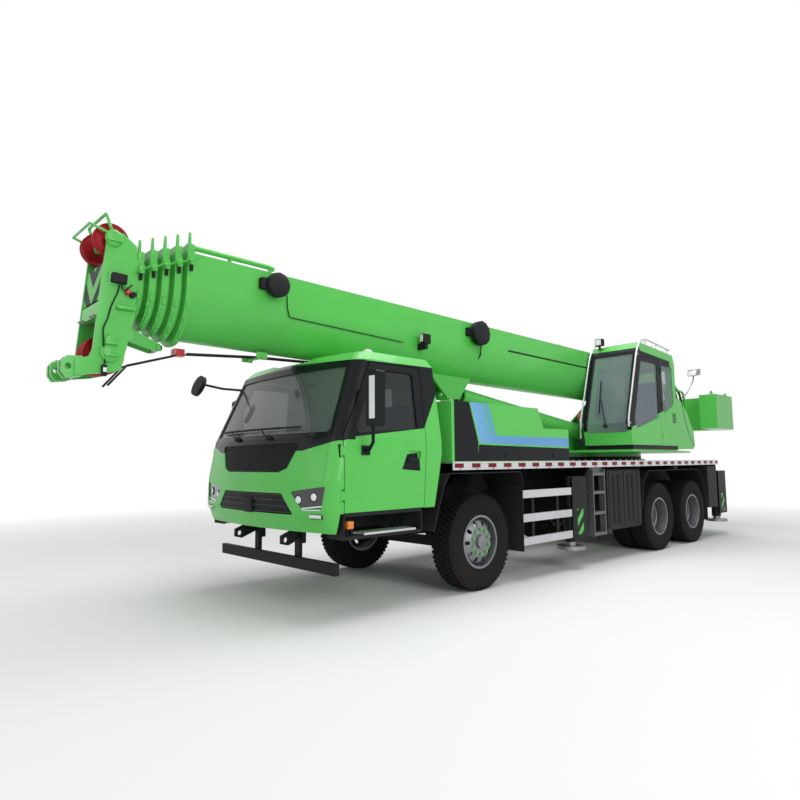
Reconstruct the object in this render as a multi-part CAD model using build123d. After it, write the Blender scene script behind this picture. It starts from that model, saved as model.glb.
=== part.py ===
from build123d import *
import os
from math import atan2, cos, degrees, hypot, radians, sin

os.makedirs("parts", exist_ok=True)

# Three-axle truck crane, boom stowed forwards over the driver's cab. Millimetres.
# The crane is drawn with X = 0 at the front axle, +X forwards, +Y to its left and
# Z = 0 on the ground, and every piece is moved at the end so that the origin is
# under the middle of the crane's whole length.

# Fits and running gaps
PIN_GAP = 0.5
SEAT_GAP = 0.3
RUNNING_GAP = 8.0

# Wheels
TYRE_RADIUS = 542.5
TYRE_WIDTH = 293.0
BEAD_RADIUS = 288.0
RIM_FLANGE_RADIUS = 300.0
RIM_WIDTH = 264.0
RIM_PLATE = 12.0
TWIN_SPACING = 330.0
FRONT_TRACK_HALF = 1040.0
REAR_TRACK_HALF = 1121.0
REAR_AXLE_X = (-4500.0, -5850.0)
SPINDLE_RADIUS = 42.0
HAND_HOLES = 10

# Steering
KINGPIN_Y = 800.0
KINGPIN_RADIUS = 22.0
STEER_ARM = 250.0
TIE_ROD_RADIUS = 20.0
AXLE_BOSS_HEIGHT = 140.0

# Chassis
RAIL_HALF = 520.0
RAIL_FLANGE = 90.0
RAIL_PLATE = 14.0
FRAME_FRONT_X = 1950.0
FRAME_REAR_X = -7180.0
RAIL_FRONT_BOTTOM = 760.0
RAIL_REAR_BOTTOM = 980.0
RAIL_FRONT_TOP = 950.0
DECK_TOP = 1450.0
DECK_PLATE = 20.0
DECK_HALF = 1265.0
SIDE_RAIL_PLATE = 10.0
SIDE_RAIL_BOTTOM = 1360.0
DECK_FRONT_X = 570.0
DECK_REAR_X = -7120.0
RIB_HEIGHT = 100.0
RIB_PLATE = 12.0

# Engine block
ENGINE_HALF = 380.0
ENGINE_BOTTOM = 850.0

# Outriggers
FRONT_OUTRIGGER_X = -2075.0
REAR_OUTRIGGER_X = -7405.0
BEAM_WIDTH = 170.0
BEAM_HEIGHT = 260.0
BEAM_WALL = 12.0
BOX_WALL = 12.0
BOX_HALF = 1000.0
PAD_LENGTH = 120.0
BEAM_OVERLAP = 380.0
BEAM_STROKE = 1600.0
JACK_Y = 1130.0
JACK_RADIUS = 82.0
JACK_WALL = 16.0
JACK_TOP = 1240.0
JACK_BOTTOM = 360.0
FLOAT_RADIUS = 190.0
FLOAT_TOP = 310.0
FLOAT_THICKNESS = 45.0
JACK_STROKE = 520.0
JACK_OVERLAP = 300.0

# Slewing
SLEW_X = -4950.0
RING_RADIUS = 700.0
RING_WALL = 110.0
RING_HEIGHT = 70.0
PLATFORM_PLATE = 40.0
CHEEK = 30.0

# Driver's cab
CAB_WALL = 60.0
CAB_FLOOR_Z = 985.0
CAB_FLOOR = 60.0
CAB_REAR_X = 720.0
FASCIA_X = 2075.0
BULKHEAD_X = 2030.0
BUMPER_BOTTOM = 800.0
BUMPER_TOP = 1283.0
BELT_Z = 1690.0
ROOF_Z = 2560.0
CORNER_RADIUS = 150.0
DOOR_GAP = 8.0
GLASS_DEPTH = 14.0
GLASS = 8.0
HINGE_X = 2060.0
HINGE_Y = 1245.0
HINGE_PIN = 9.0
DOOR_INNER_Y = 1188.0

# Operator's cab
OP_INNER_Y = 375.0
OP_OUTER_Y = 1200.0
OP_WALL = 45.0
OP_HINGE_X = -4880.0

# Boom
PIVOT_X = -6400.0
PIVOT_Z = 2950.0
BOOM_TILT = 0.74
BOOM_TOP = 346.0
BOOM_WIDTH = 660.0
BOOM_HEIGHT = 790.0
BOOM_FLAT = 330.0
BOOM_WALL = 16.0
BOOM_TAIL = 350.0
FOOT_PIN = 60.0
BOOM_LENGTH = 9590.0
SECTION_STEP = 82.0
SECTIONS = 5
COLLAR = 60.0
COLLAR_PITCH = 100.0
COLLAR_RISE = 55.0
TELESCOPE_STROKE = 7600.0
SECTION_OVERLAP = 1700.0
HEAD_HALF = 250.0
HEAD_PLATE = 25.0
HEAD_PIN_X = 3795.0
HEAD_PIN_Z = 3407.0
LOW_PIN_X = 3790.0
LOW_PIN_Z = 2400.0
HEAD_PIN = 45.0
HEAD_SHEAVE = 150.0
LOW_SHEAVE = 172.0
JIB_PIN_X = 4105.0
JIB_PIN_Z = 2258.0
JIB_PIN = 26.0

# Luffing cylinder
LUFF_BASE_X = -4300.0
LUFF_BASE_Z = 1950.0
LUFF_EYE_X = -750.0
LUFF_EYE_Z = 2400.0
LUFF_BARREL_RADIUS = 130.0
LUFF_BORE = 105.0
LUFF_PISTON = 150.0
LUFF_ROD_RADIUS = 80.0
LUFF_ANGLE = 80.0
LUFF_EYE_WIDTH = 180.0
LUFF_PIN = 45.0

# Counterweight
WEIGHT_FRONT_X = -7480.0
WEIGHT_REAR_X = -8600.0
WEIGHT_HALF = 1190.0
WEIGHT_SLAB = 500.0
WEIGHT_BOTTOM = 2080.0
WEIGHT_TOP = 2770.0

FRAME_TOP = DECK_TOP - DECK_PLATE
RIB_BOTTOM = FRAME_TOP - RIB_HEIGHT
AXLE_Z = TYRE_RADIUS
BOX_HEIGHT = BEAM_HEIGHT + 2 * BOX_WALL + 2 * RUNNING_GAP
BOX_TOP = RAIL_REAR_BOTTOM
BOX_BOTTOM = BOX_TOP - BOX_HEIGHT
BEAM_Z = BOX_BOTTOM + BOX_HEIGHT / 2
CELL_PITCH = BEAM_WIDTH + BOX_WALL + 2 * RUNNING_GAP
RING_TOP = DECK_TOP + RING_HEIGHT
PLATFORM_Z = RING_TOP + SEAT_GAP + RING_HEIGHT
PLATFORM_TOP = PLATFORM_Z + PLATFORM_PLATE

nodes = {}


def box(x_low, x_high, y_low, y_high, z_low, z_high):
    """Block between two values of each coordinate."""
    middle = ((x_low + x_high) / 2, (y_low + y_high) / 2, (z_low + z_high) / 2)
    return Pos(*middle) * Box(x_high - x_low, y_high - y_low, z_high - z_low)


def prism_y(points, y_low, y_high, fillet_radius=0):
    """Outline in X and Z, from y_low to y_high."""
    outline = make_face(Polyline(*[(x, y_low, z) for x, z in points], close=True))
    if fillet_radius:
        outline = fillet(outline.vertices(), fillet_radius)
    return extrude(outline, amount=y_high - y_low, dir=(0, 1, 0))


def prism_x(points, x_low, x_high, fillet_radius=0):
    """Outline in Y and Z, from x_low to x_high."""
    outline = make_face(Polyline(*[(x_low, y, z) for y, z in points], close=True))
    if fillet_radius:
        outline = fillet(outline.vertices(), fillet_radius)
    return extrude(outline, amount=x_high - x_low, dir=(1, 0, 0))


def prism_z(points, z_low, z_high, fillet_radius=0):
    """Outline in X and Y, from z_low to z_high."""
    outline = make_face(Polyline(*[(x, y, z_low) for x, y in points], close=True))
    if fillet_radius:
        outline = fillet(outline.vertices(), fillet_radius)
    return extrude(outline, amount=z_high - z_low, dir=(0, 0, 1))


def rod(start, end, radius):
    """Round bar between two points."""
    axis = Vector(*end) - Vector(*start)
    base = Plane(origin=start, z_dir=axis)
    return base * Cylinder(radius, axis.length, align=(Align.CENTER, Align.CENTER, Align.MIN))


def tube_path(points, radius, bend):
    """Round bar along straight runs joined by bends."""
    path = FilletPolyline(*points, radius=bend)
    return sweep(Plane(origin=path @ 0, z_dir=path % 0) * Circle(radius), path=path)


def both_sides(shape):
    """A left-hand piece with its mirror image on the right."""
    return shape + mirror(shape, about=Plane.XZ)


def ring_y(profile, x, y, z):
    """Turned piece about an axis along Y; the profile is radius and distance outwards."""
    face = make_face(Polyline(*[(r, a) for r, a in profile], close=True))
    return Pos(x, y, z) * revolve(face, Axis.Y, 360)


def cross_wall(points, wall, y_low, y_high):
    """Hollow outline in X and Z with one wall thickness all round."""
    outer = prism_y(points, y_low, y_high)
    face = make_face(Polyline(*[(x, y_low + wall, z) for x, z in points], close=True))
    drawn_in = offset(face, -wall, kind=Kind.INTERSECTION)
    inner = extrude(drawn_in, amount=y_high - y_low - 2 * wall, dir=(0, 1, 0))
    return outer - inner


def make_tyre(x, y):
    """One tyre about its wheel centre."""
    half = TYRE_WIDTH / 2
    profile = [
        (BEAD_RADIUS, -half + 32),
        (BEAD_RADIUS, half - 32),
        (BEAD_RADIUS + 70, half - 6),
        (BEAD_RADIUS + 140, half),
        (TYRE_RADIUS - 45, half - 8),
        (TYRE_RADIUS - 10, half - 26),
        (TYRE_RADIUS, half - 60),
        (TYRE_RADIUS, -half + 60),
        (TYRE_RADIUS - 10, -half + 26),
        (TYRE_RADIUS - 45, -half + 8),
        (BEAD_RADIUS + 140, -half),
        (BEAD_RADIUS + 70, -half + 6),
    ]
    return ring_y(profile, x, y, AXLE_Z)


def rim_profile(disc):
    """Rim barrel with its two flanges and a disc given by three radius and offset pairs."""
    half = RIM_WIDTH / 2
    outer = BEAD_RADIUS - SEAT_GAP
    barrel = [
        (RIM_FLANGE_RADIUS, -half),
        (RIM_FLANGE_RADIUS, -half + RIM_PLATE),
        (outer, -half + RIM_PLATE + SEAT_GAP),
        (outer, half - RIM_PLATE - SEAT_GAP),
        (RIM_FLANGE_RADIUS, half - RIM_PLATE),
        (RIM_FLANGE_RADIUS, half),
        (outer - RIM_PLATE, half),
        (outer - 2 * RIM_PLATE, 0),
        (outer - RIM_PLATE, -half),
    ]
    plate = [(r, a) for r, a in disc] + [(r, a - 1.4 * RIM_PLATE) for r, a in reversed(disc)]
    return barrel, plate


def hand_holes(x, y, radius, length):
    """Oval holes round a wheel disc, cut along Y."""
    slot = extrude(Plane.XZ * SlotOverall(62, 44, rotation=90), amount=length / 2, both=True)
    holes = None
    for index in range(HAND_HOLES):
        angle = 360 / HAND_HOLES * (index + 0.5)
        hole = Pos(x, y, AXLE_Z) * Rot(0, angle, 0) * Pos(0, 0, radius) * slot
        holes = hole if holes is None else holes + hole
    return holes


def make_front_wheel():
    """Left front wheel: rim with its bulged disc, hub and nut ring."""
    barrel, plate = rim_profile([(BEAD_RADIUS - 18, 40), (235, 95), (170, 128), (60, 128)])
    wheel = ring_y(barrel, 0, FRONT_TRACK_HALF, AXLE_Z) + ring_y(plate, 0, FRONT_TRACK_HALF, AXLE_Z)
    wheel -= hand_holes(0, FRONT_TRACK_HALF + 100, 208, 160)
    hub = rod((0, FRONT_TRACK_HALF - 110, AXLE_Z), (0, FRONT_TRACK_HALF + 128, AXLE_Z), 105)
    cap = ring_y([(0, 128), (78, 128), (74, 158), (30, 166), (0, 166)], 0, FRONT_TRACK_HALF, AXLE_Z)
    nuts = None
    for index in range(10):
        turn = radians(36 * index)
        x, z = 142 * sin(turn), 142 * cos(turn)
        nut = rod((x, FRONT_TRACK_HALF + 124, AXLE_Z + z), (x, FRONT_TRACK_HALF + 150, AXLE_Z + z), 15)
        nuts = nut if nuts is None else nuts + nut
    bore_end = FRONT_TRACK_HALF + 91
    bore = rod((0, KINGPIN_Y, AXLE_Z), (0, bore_end, AXLE_Z), SPINDLE_RADIUS + PIN_GAP)
    return wheel + hub + cap + nuts - bore


def make_rear_wheel(x):
    """Left rear twin: two deep rims back to back on one stepped hub."""
    outer_y = REAR_TRACK_HALF
    inner_y = REAR_TRACK_HALF - TWIN_SPACING
    joint_y = (outer_y + inner_y) / 2
    dish = joint_y - outer_y + 1.4 * RIM_PLATE
    barrel, plate = rim_profile([(BEAD_RADIUS - 20, -30), (240, dish + 60), (195, dish), (90, dish)])
    outer = ring_y(barrel, x, outer_y, AXLE_Z) + ring_y(plate, x, outer_y, AXLE_Z)
    outer -= hand_holes(x, joint_y + 60, 218, 150)
    inner = mirror(outer, about=Plane.XZ.offset(-joint_y))
    hub_steps = [(0, -200), (105, -200), (150, -60), (150, 60), (118, 70), (104, 190), (60, 205), (0, 205)]
    hub = ring_y(hub_steps, x, joint_y, AXLE_Z)
    nuts = None
    for index in range(10):
        turn = radians(36 * index)
        dx, dz = 172 * sin(turn), 172 * cos(turn)
        nut = rod((x + dx, joint_y + 10, AXLE_Z + dz), (x + dx, joint_y + 48, AXLE_Z + dz), 15)
        nuts = nut if nuts is None else nuts + nut
    bore = rod((x, joint_y - 220, AXLE_Z), (x, joint_y + 120, AXLE_Z), SPINDLE_RADIUS + PIN_GAP)
    return outer + inner + hub + nuts - bore


def make_wheels():
    """Tyres and rims of the three axles."""
    tyre = make_tyre(0, FRONT_TRACK_HALF)
    rim = make_front_wheel()
    nodes["tyre_front_left"] = tyre
    nodes["tyre_front_right"] = mirror(tyre, about=Plane.XZ)
    nodes["rim_front_left"] = rim
    nodes["rim_front_right"] = mirror(rim, about=Plane.XZ)
    for name, x in zip(("middle", "rear"), REAR_AXLE_X):
        twin = make_tyre(x, REAR_TRACK_HALF) + make_tyre(x, REAR_TRACK_HALF - TWIN_SPACING)
        rim = make_rear_wheel(x)
        nodes[f"tyre_{name}_left"] = twin
        nodes[f"tyre_{name}_right"] = mirror(twin, about=Plane.XZ)
        nodes[f"rim_{name}_left"] = rim
        nodes[f"rim_{name}_right"] = mirror(rim, about=Plane.XZ)


def make_knuckle():
    """Left steering knuckle: two lugs on the kingpin, spindle and steering arm."""
    half = AXLE_BOSS_HEIGHT / 2 + PIN_GAP
    lug = 40
    upper = rod((0, KINGPIN_Y, AXLE_Z + half), (0, KINGPIN_Y, AXLE_Z + half + lug), 58)
    lower = rod((0, KINGPIN_Y, AXLE_Z - half - lug), (0, KINGPIN_Y, AXLE_Z - half), 58)
    bottom = AXLE_Z - half - lug
    pin = rod((0, KINGPIN_Y, bottom), (0, KINGPIN_Y, AXLE_Z + half + lug), KINGPIN_RADIUS)
    web_y = KINGPIN_Y + 75
    web = box(-55, 55, web_y, web_y + 30, bottom, AXLE_Z + half + lug)
    cheeks = box(-45, 45, KINGPIN_Y, web_y + 5, bottom, AXLE_Z - half)
    cheeks += box(-45, 45, KINGPIN_Y, web_y + 5, AXLE_Z + half, AXLE_Z + half + lug)
    spindle = rod((0, web_y, AXLE_Z), (0, FRONT_TRACK_HALF + 85, AXLE_Z), SPINDLE_RADIUS)
    drum = rod((0, web_y + 2, AXLE_Z), (0, web_y + 34, AXLE_Z), 185)
    arm_outline = [(0, KINGPIN_Y - 40), (0, KINGPIN_Y + 30), (-STEER_ARM, KINGPIN_Y + 22),
                   (-STEER_ARM, KINGPIN_Y - 22)]
    arm = prism_z(arm_outline, bottom, bottom + 26)
    eye = rod((-STEER_ARM, KINGPIN_Y, bottom), (-STEER_ARM, KINGPIN_Y, bottom + 26), 32)
    hole = rod((-STEER_ARM, KINGPIN_Y, bottom - 9), (-STEER_ARM, KINGPIN_Y, bottom + 60), 14 + PIN_GAP)
    return upper + lower + pin + web + cheeks + spindle + drum + arm + eye - hole


def make_tie_rod():
    """Rod joining the two steering arms, with an upright stud in each arm's eye."""
    arm_bottom = AXLE_Z - AXLE_BOSS_HEIGHT / 2 - PIN_GAP - 40
    z = arm_bottom - 12 - TIE_ROD_RADIUS
    bar = rod((-STEER_ARM, -KINGPIN_Y, z), (-STEER_ARM, KINGPIN_Y, z), TIE_ROD_RADIUS)
    for side in (-1, 1):
        y = side * KINGPIN_Y
        bar += rod((-STEER_ARM, y, z - 26), (-STEER_ARM, y, arm_bottom - PIN_GAP), 30)
        bar += rod((-STEER_ARM, y, z), (-STEER_ARM, y, arm_bottom + 30), 14)
    return bar


def make_axles():
    """Steering axle, tandem axles with their springs, and the knuckles."""
    boss_half = AXLE_BOSS_HEIGHT / 2
    boss = rod((0, KINGPIN_Y, AXLE_Z - boss_half), (0, KINGPIN_Y, AXLE_Z + boss_half), 60)
    boss -= rod((0, KINGPIN_Y, AXLE_Z - 200), (0, KINGPIN_Y, AXLE_Z + 200), KINGPIN_RADIUS + PIN_GAP)
    beam_top = [(0, 545), (420, 545), (620, 590), (KINGPIN_Y - 40, 590)]
    beam_low = [(KINGPIN_Y - 40, 490), (640, 490), (440, 440), (0, 440)]
    beam = prism_x(beam_top + beam_low, -42, 42)
    seat = box(-110, 110, 400, 500, 545, 600)
    leaf = make_leaf(0, 644, 750, 60, 95, 450, 44)
    hanger = box(-790, -730, 405, 495, 690, RAIL_FRONT_BOTTOM)
    hanger += box(730, 790, 405, 495, 690, RAIL_FRONT_BOTTOM)
    nodes["front_axle"] = both_sides(boss + beam + seat + leaf + hanger)
    nodes["knuckle_left"] = make_knuckle()
    nodes["knuckle_right"] = mirror(make_knuckle(), about=Plane.XZ)
    nodes["tie_rod"] = make_tie_rod()

    joint_y = REAR_TRACK_HALF - TWIN_SPACING / 2
    axles = None
    for x in REAR_AXLE_X:
        tube = rod((x, -620, AXLE_Z), (x, 620, AXLE_Z), 78)
        stub = rod((x, -joint_y - 110, AXLE_Z), (x, joint_y + 110, AXLE_Z), SPINDLE_RADIUS)
        case = Pos(x, 0, AXLE_Z) * Sphere(205) + rod((x, 0, AXLE_Z), (x + 300, 0, AXLE_Z + 20), 90)
        axle = tube + stub + case
        axles = axle if axles is None else axles + axle
    middle = sum(REAR_AXLE_X) / 2
    half_base = (REAR_AXLE_X[0] - REAR_AXLE_X[1]) / 2
    pack = make_leaf(middle, AXLE_Z + 110, half_base + 60, 70, 100, 470, -150)
    seats = box(REAR_AXLE_X[0] - 70, REAR_AXLE_X[0] + 70, 420, 520, AXLE_Z + 40, AXLE_Z + 112)
    seats += box(REAR_AXLE_X[1] - 70, REAR_AXLE_X[1] + 70, 420, 520, AXLE_Z + 40, AXLE_Z + 112)
    saddle = prism_y([(middle - 200, RAIL_REAR_BOTTOM), (middle + 200, RAIL_REAR_BOTTOM),
                      (middle + 90, 800), (middle - 90, 800)], 425, 515)
    nodes["rear_axles"] = axles + both_sides(pack + seats + saddle)


def make_leaf(x, z, half_length, thickness, width, y, sag):
    """Leaf spring pack as a bowed bar; z is its ends' underside and sag how far its middle lies lower."""
    side = y - width / 2
    low = ThreePointArc((x - half_length, side, z), (x, side, z - sag), (x + half_length, side, z))
    high = Pos(0, 0, thickness) * low
    face = make_face([low, high, Line(low @ 0, high @ 0), Line(low @ 1, high @ 1)])
    return extrude(face, amount=width, dir=(0, 1, 0))


def make_rail():
    """Left frame rail: a channel that is deeper and higher behind the engine."""
    side = [
        (FRAME_FRONT_X, RAIL_FRONT_BOTTOM + 60),
        (FRAME_FRONT_X, RAIL_FRONT_TOP),
        (300, RAIL_FRONT_TOP),
        (-700, FRAME_TOP),
        (FRAME_REAR_X, FRAME_TOP),
        (FRAME_REAR_X, RAIL_REAR_BOTTOM),
        (-1700, RAIL_REAR_BOTTOM),
        (-1250, RAIL_FRONT_BOTTOM),
        (FRAME_FRONT_X - 120, RAIL_FRONT_BOTTOM),
    ]
    inner_y = RAIL_HALF - RAIL_FLANGE
    rail = prism_y(side, inner_y, RAIL_HALF)
    face = make_face(Polyline(*[(x, inner_y, z) for x, z in side], close=True))
    hollow = offset(face, -RAIL_PLATE, kind=Kind.INTERSECTION)
    pocket = extrude(hollow, amount=RAIL_FLANGE - RAIL_PLATE, dir=(0, 1, 0))
    return rail - pocket


def outrigger_box(centre_x):
    """Cross box with two cells side by side, each open at one end of the crane."""
    half = CELL_PITCH + BOX_WALL / 2
    shell = box(centre_x - half, centre_x + half, -BOX_HALF, BOX_HALF, BOX_BOTTOM, BOX_TOP)
    cell = CELL_PITCH - BOX_WALL
    for side in (1, -1):
        middle = centre_x + side * CELL_PITCH / 2
        west, east = middle - cell / 2, middle + cell / 2
        low, high = sorted((side * (BOX_HALF + 5), -side * (BOX_HALF - BOX_WALL)))
        shell -= box(west, east, low, high, BOX_BOTTOM + BOX_WALL, BOX_TOP - BOX_WALL)
        low, high = sorted((side * (BOX_HALF - PAD_LENGTH), side * BOX_HALF))
        pad_bottom = BOX_BOTTOM + BOX_WALL - 1
        pad_top = BEAM_Z - BEAM_HEIGHT / 2 - SEAT_GAP
        shell += box(west + 18, east - 18, low, high, pad_bottom, pad_top)
    return shell


def make_chassis():
    """Frame rails, cross members, outrigger boxes, slewing seat and towing eyes."""
    frame = both_sides(make_rail())
    inner = RAIL_HALF - RAIL_FLANGE
    for x in (1500, -1400, -3000, -6800):
        bottom = RAIL_FRONT_BOTTOM + RAIL_PLATE if x > -1300 else RAIL_REAR_BOTTOM + RAIL_PLATE
        top = bottom + 160
        frame += box(x - 60, x + 60, 5 - RAIL_HALF, RAIL_HALF - 5, bottom, top)
    frame += box(FRAME_REAR_X, FRAME_REAR_X + 20, -RAIL_HALF, RAIL_HALF, RAIL_REAR_BOTTOM, FRAME_TOP)
    frame += box(SLEW_X - 720, SLEW_X + 720, -inner - 40, inner + 40, RAIL_REAR_BOTTOM + 60, FRAME_TOP)
    frame -= box(SLEW_X - 690, SLEW_X + 690, -inner + 10, inner - 10, RAIL_REAR_BOTTOM, FRAME_TOP - 30)
    for x in (-650, 250):
        foot_top = ENGINE_BOTTOM - SEAT_GAP
        frame += both_sides(box(x - 50, x + 50, ENGINE_HALF - 50, RAIL_HALF - 5, foot_top - 50, foot_top))
    for x in (1050, 1800):
        mount_top = CAB_FLOOR_Z - SEAT_GAP
        frame += both_sides(box(x - 50, x + 50, inner + 10, RAIL_HALF - 5, RAIL_FRONT_TOP - 5, mount_top))
    centre = DECK_HALF - 870
    frame += box(SLEW_X - 750, SLEW_X + 750, -centre + SEAT_GAP, centre - SEAT_GAP, FRAME_TOP - 20, DECK_TOP)
    ring = Pos(SLEW_X, 0, DECK_TOP + RING_HEIGHT / 2) * Cylinder(RING_RADIUS, RING_HEIGHT)
    ring -= Pos(SLEW_X, 0, DECK_TOP + RING_HEIGHT / 2) * Cylinder(RING_RADIUS - RING_WALL, RING_HEIGHT)
    frame += ring
    for x in (FRONT_OUTRIGGER_X, REAR_OUTRIGGER_X):
        frame += outrigger_box(x)
    tail_x = REAR_OUTRIGGER_X - 150
    tail = [(FRAME_REAR_X, BOX_TOP - 2), (FRAME_REAR_X, FRAME_TOP), (tail_x, BOX_TOP + 120),
            (tail_x, BOX_TOP - 2)]
    frame += both_sides(prism_y(tail, inner, inner + 40))
    nodes["chassis_frame"] = frame


def make_front_end():
    """Underrun bar on its two hangers, and the two towing eyes in front of the frame."""
    bar = box(1965, 2015, -1090, 1090, 405, 515)
    hanger = box(1925, 1965, 350, RAIL_HALF - RAIL_FLANGE - SEAT_GAP, 430, 830)
    bracket = box(1880, FRAME_FRONT_X - SEAT_GAP, 350, RAIL_HALF - RAIL_FLANGE - SEAT_GAP, 640, 940)
    under = bar + both_sides(hanger + bracket)
    eye_points = [(1990, 820), (2200, 740), (2200, 660), (2120, 640), (1966, 700), (1966, 820)]
    eye = prism_y(eye_points, 440, 470, 12)
    eye += box(FRAME_FRONT_X + SEAT_GAP, 1991, 440, 515, 700, 940)
    eye -= rod((2145, 430, 695), (2145, 480, 695), 27)
    nodes["front_bar_and_tow_eyes"] = under + both_sides(eye)


def cab_section(z, half_width, front_centre, front_corner, corner, rear, inset):
    """Plan outline of the cab at one height: flat rear and sides, bowed front."""
    half = half_width - inset
    centre_x = front_centre - inset
    corner_x = front_corner - inset
    radius = max(corner - inset, 20)
    side_x = corner_x - radius
    front_y = half - radius
    bend = radius * cos(radians(45))
    left = ThreePointArc((side_x, half, z), (side_x + bend, front_y + bend, z), (corner_x, front_y, z))
    front = ThreePointArc((corner_x, front_y, z), (centre_x, 0, z), (corner_x, -front_y, z))
    right = ThreePointArc((corner_x, -front_y, z), (side_x + bend, -front_y - bend, z), (side_x, -half, z))
    back = rear + inset
    return make_face([
        left, front, right,
        Line((side_x, -half, z), (back, -half, z)),
        Line((back, -half, z), (back, half, z)),
        Line((back, half, z), (side_x, half, z)),
    ])


# Height, half width, front at the middle, front at the corner, corner radius, rear
CAB_LEVELS = (
    (BUMPER_BOTTOM, 1225, 2225, 2120, CORNER_RADIUS, CAB_REAR_X),
    (1000, 1250, 2300, 2190, CORNER_RADIUS, CAB_REAR_X),
    (BUMPER_TOP, 1255, 2300, 2180, CORNER_RADIUS, CAB_REAR_X),
    (BELT_Z, 1250, 2245, 2105, CORNER_RADIUS, CAB_REAR_X),
    (2470, 1150, 1870, 1780, CORNER_RADIUS, CAB_REAR_X + 30),
    (ROOF_Z, 1085, 1770, 1690, CORNER_RADIUS, CAB_REAR_X + 60),
)


def cab_loft(inset, floor=BUMPER_BOTTOM):
    """The cab's outside form, drawn in by the inset all round."""
    solid = None
    for low, high in zip(CAB_LEVELS, CAB_LEVELS[1:]):
        top = high[0] - inset if high[0] == ROOF_Z else high[0]
        faces = [cab_section(low[0], *low[1:], inset), cab_section(top, *high[1:], inset)]
        piece = loft(faces, ruled=True)
        solid = piece if solid is None else solid + piece
    if inset:
        solid -= box(0, 3000, -1500, 1500, 0, floor + inset)
    return solid


DOOR_OUTLINE = [
    (1000, CAB_FLOOR_Z + 5), (2030, CAB_FLOOR_Z + 5), (2030, 1700), (1640, 2440), (960, 2440), (960, 1560),
]
DOOR_WINDOW = [(1070, 1790), (1900, 1730), (1600, 2370), (1070, 2370)]
WINDSCREEN = [(-1090, 1740), (1090, 1740), (1000, 2400), (-1000, 2400)]
MESH_OUTLINE = [(-760, 1640), (760, 1640), (620, 1400), (500, 1360), (-500, 1360), (-620, 1400)]
GRILLE_OUTLINE = [(-560, 1160), (560, 1160), (740, 960), (-740, 960)]
LAMP_OUTLINE = [(690, 1180), (1150, 1235), (1110, 1030), (850, 1015)]
REAR_WINDOW = [(-560, 1850), (560, 1850), (560, 2300), (-560, 2300)]


def grow(points, amount):
    """An outline moved outwards by an amount."""
    face = make_face(Polyline(*points, close=True))
    grown = offset(face, amount, kind=Kind.INTERSECTION)
    return outline_of(grown)


def outline_of(face):
    """Corner points of a face in order round its outer wire."""
    wire = face.faces()[0].outer_wire()
    return [tuple(edge @ 0)[:2] for edge in wire.order_edges()]


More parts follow.
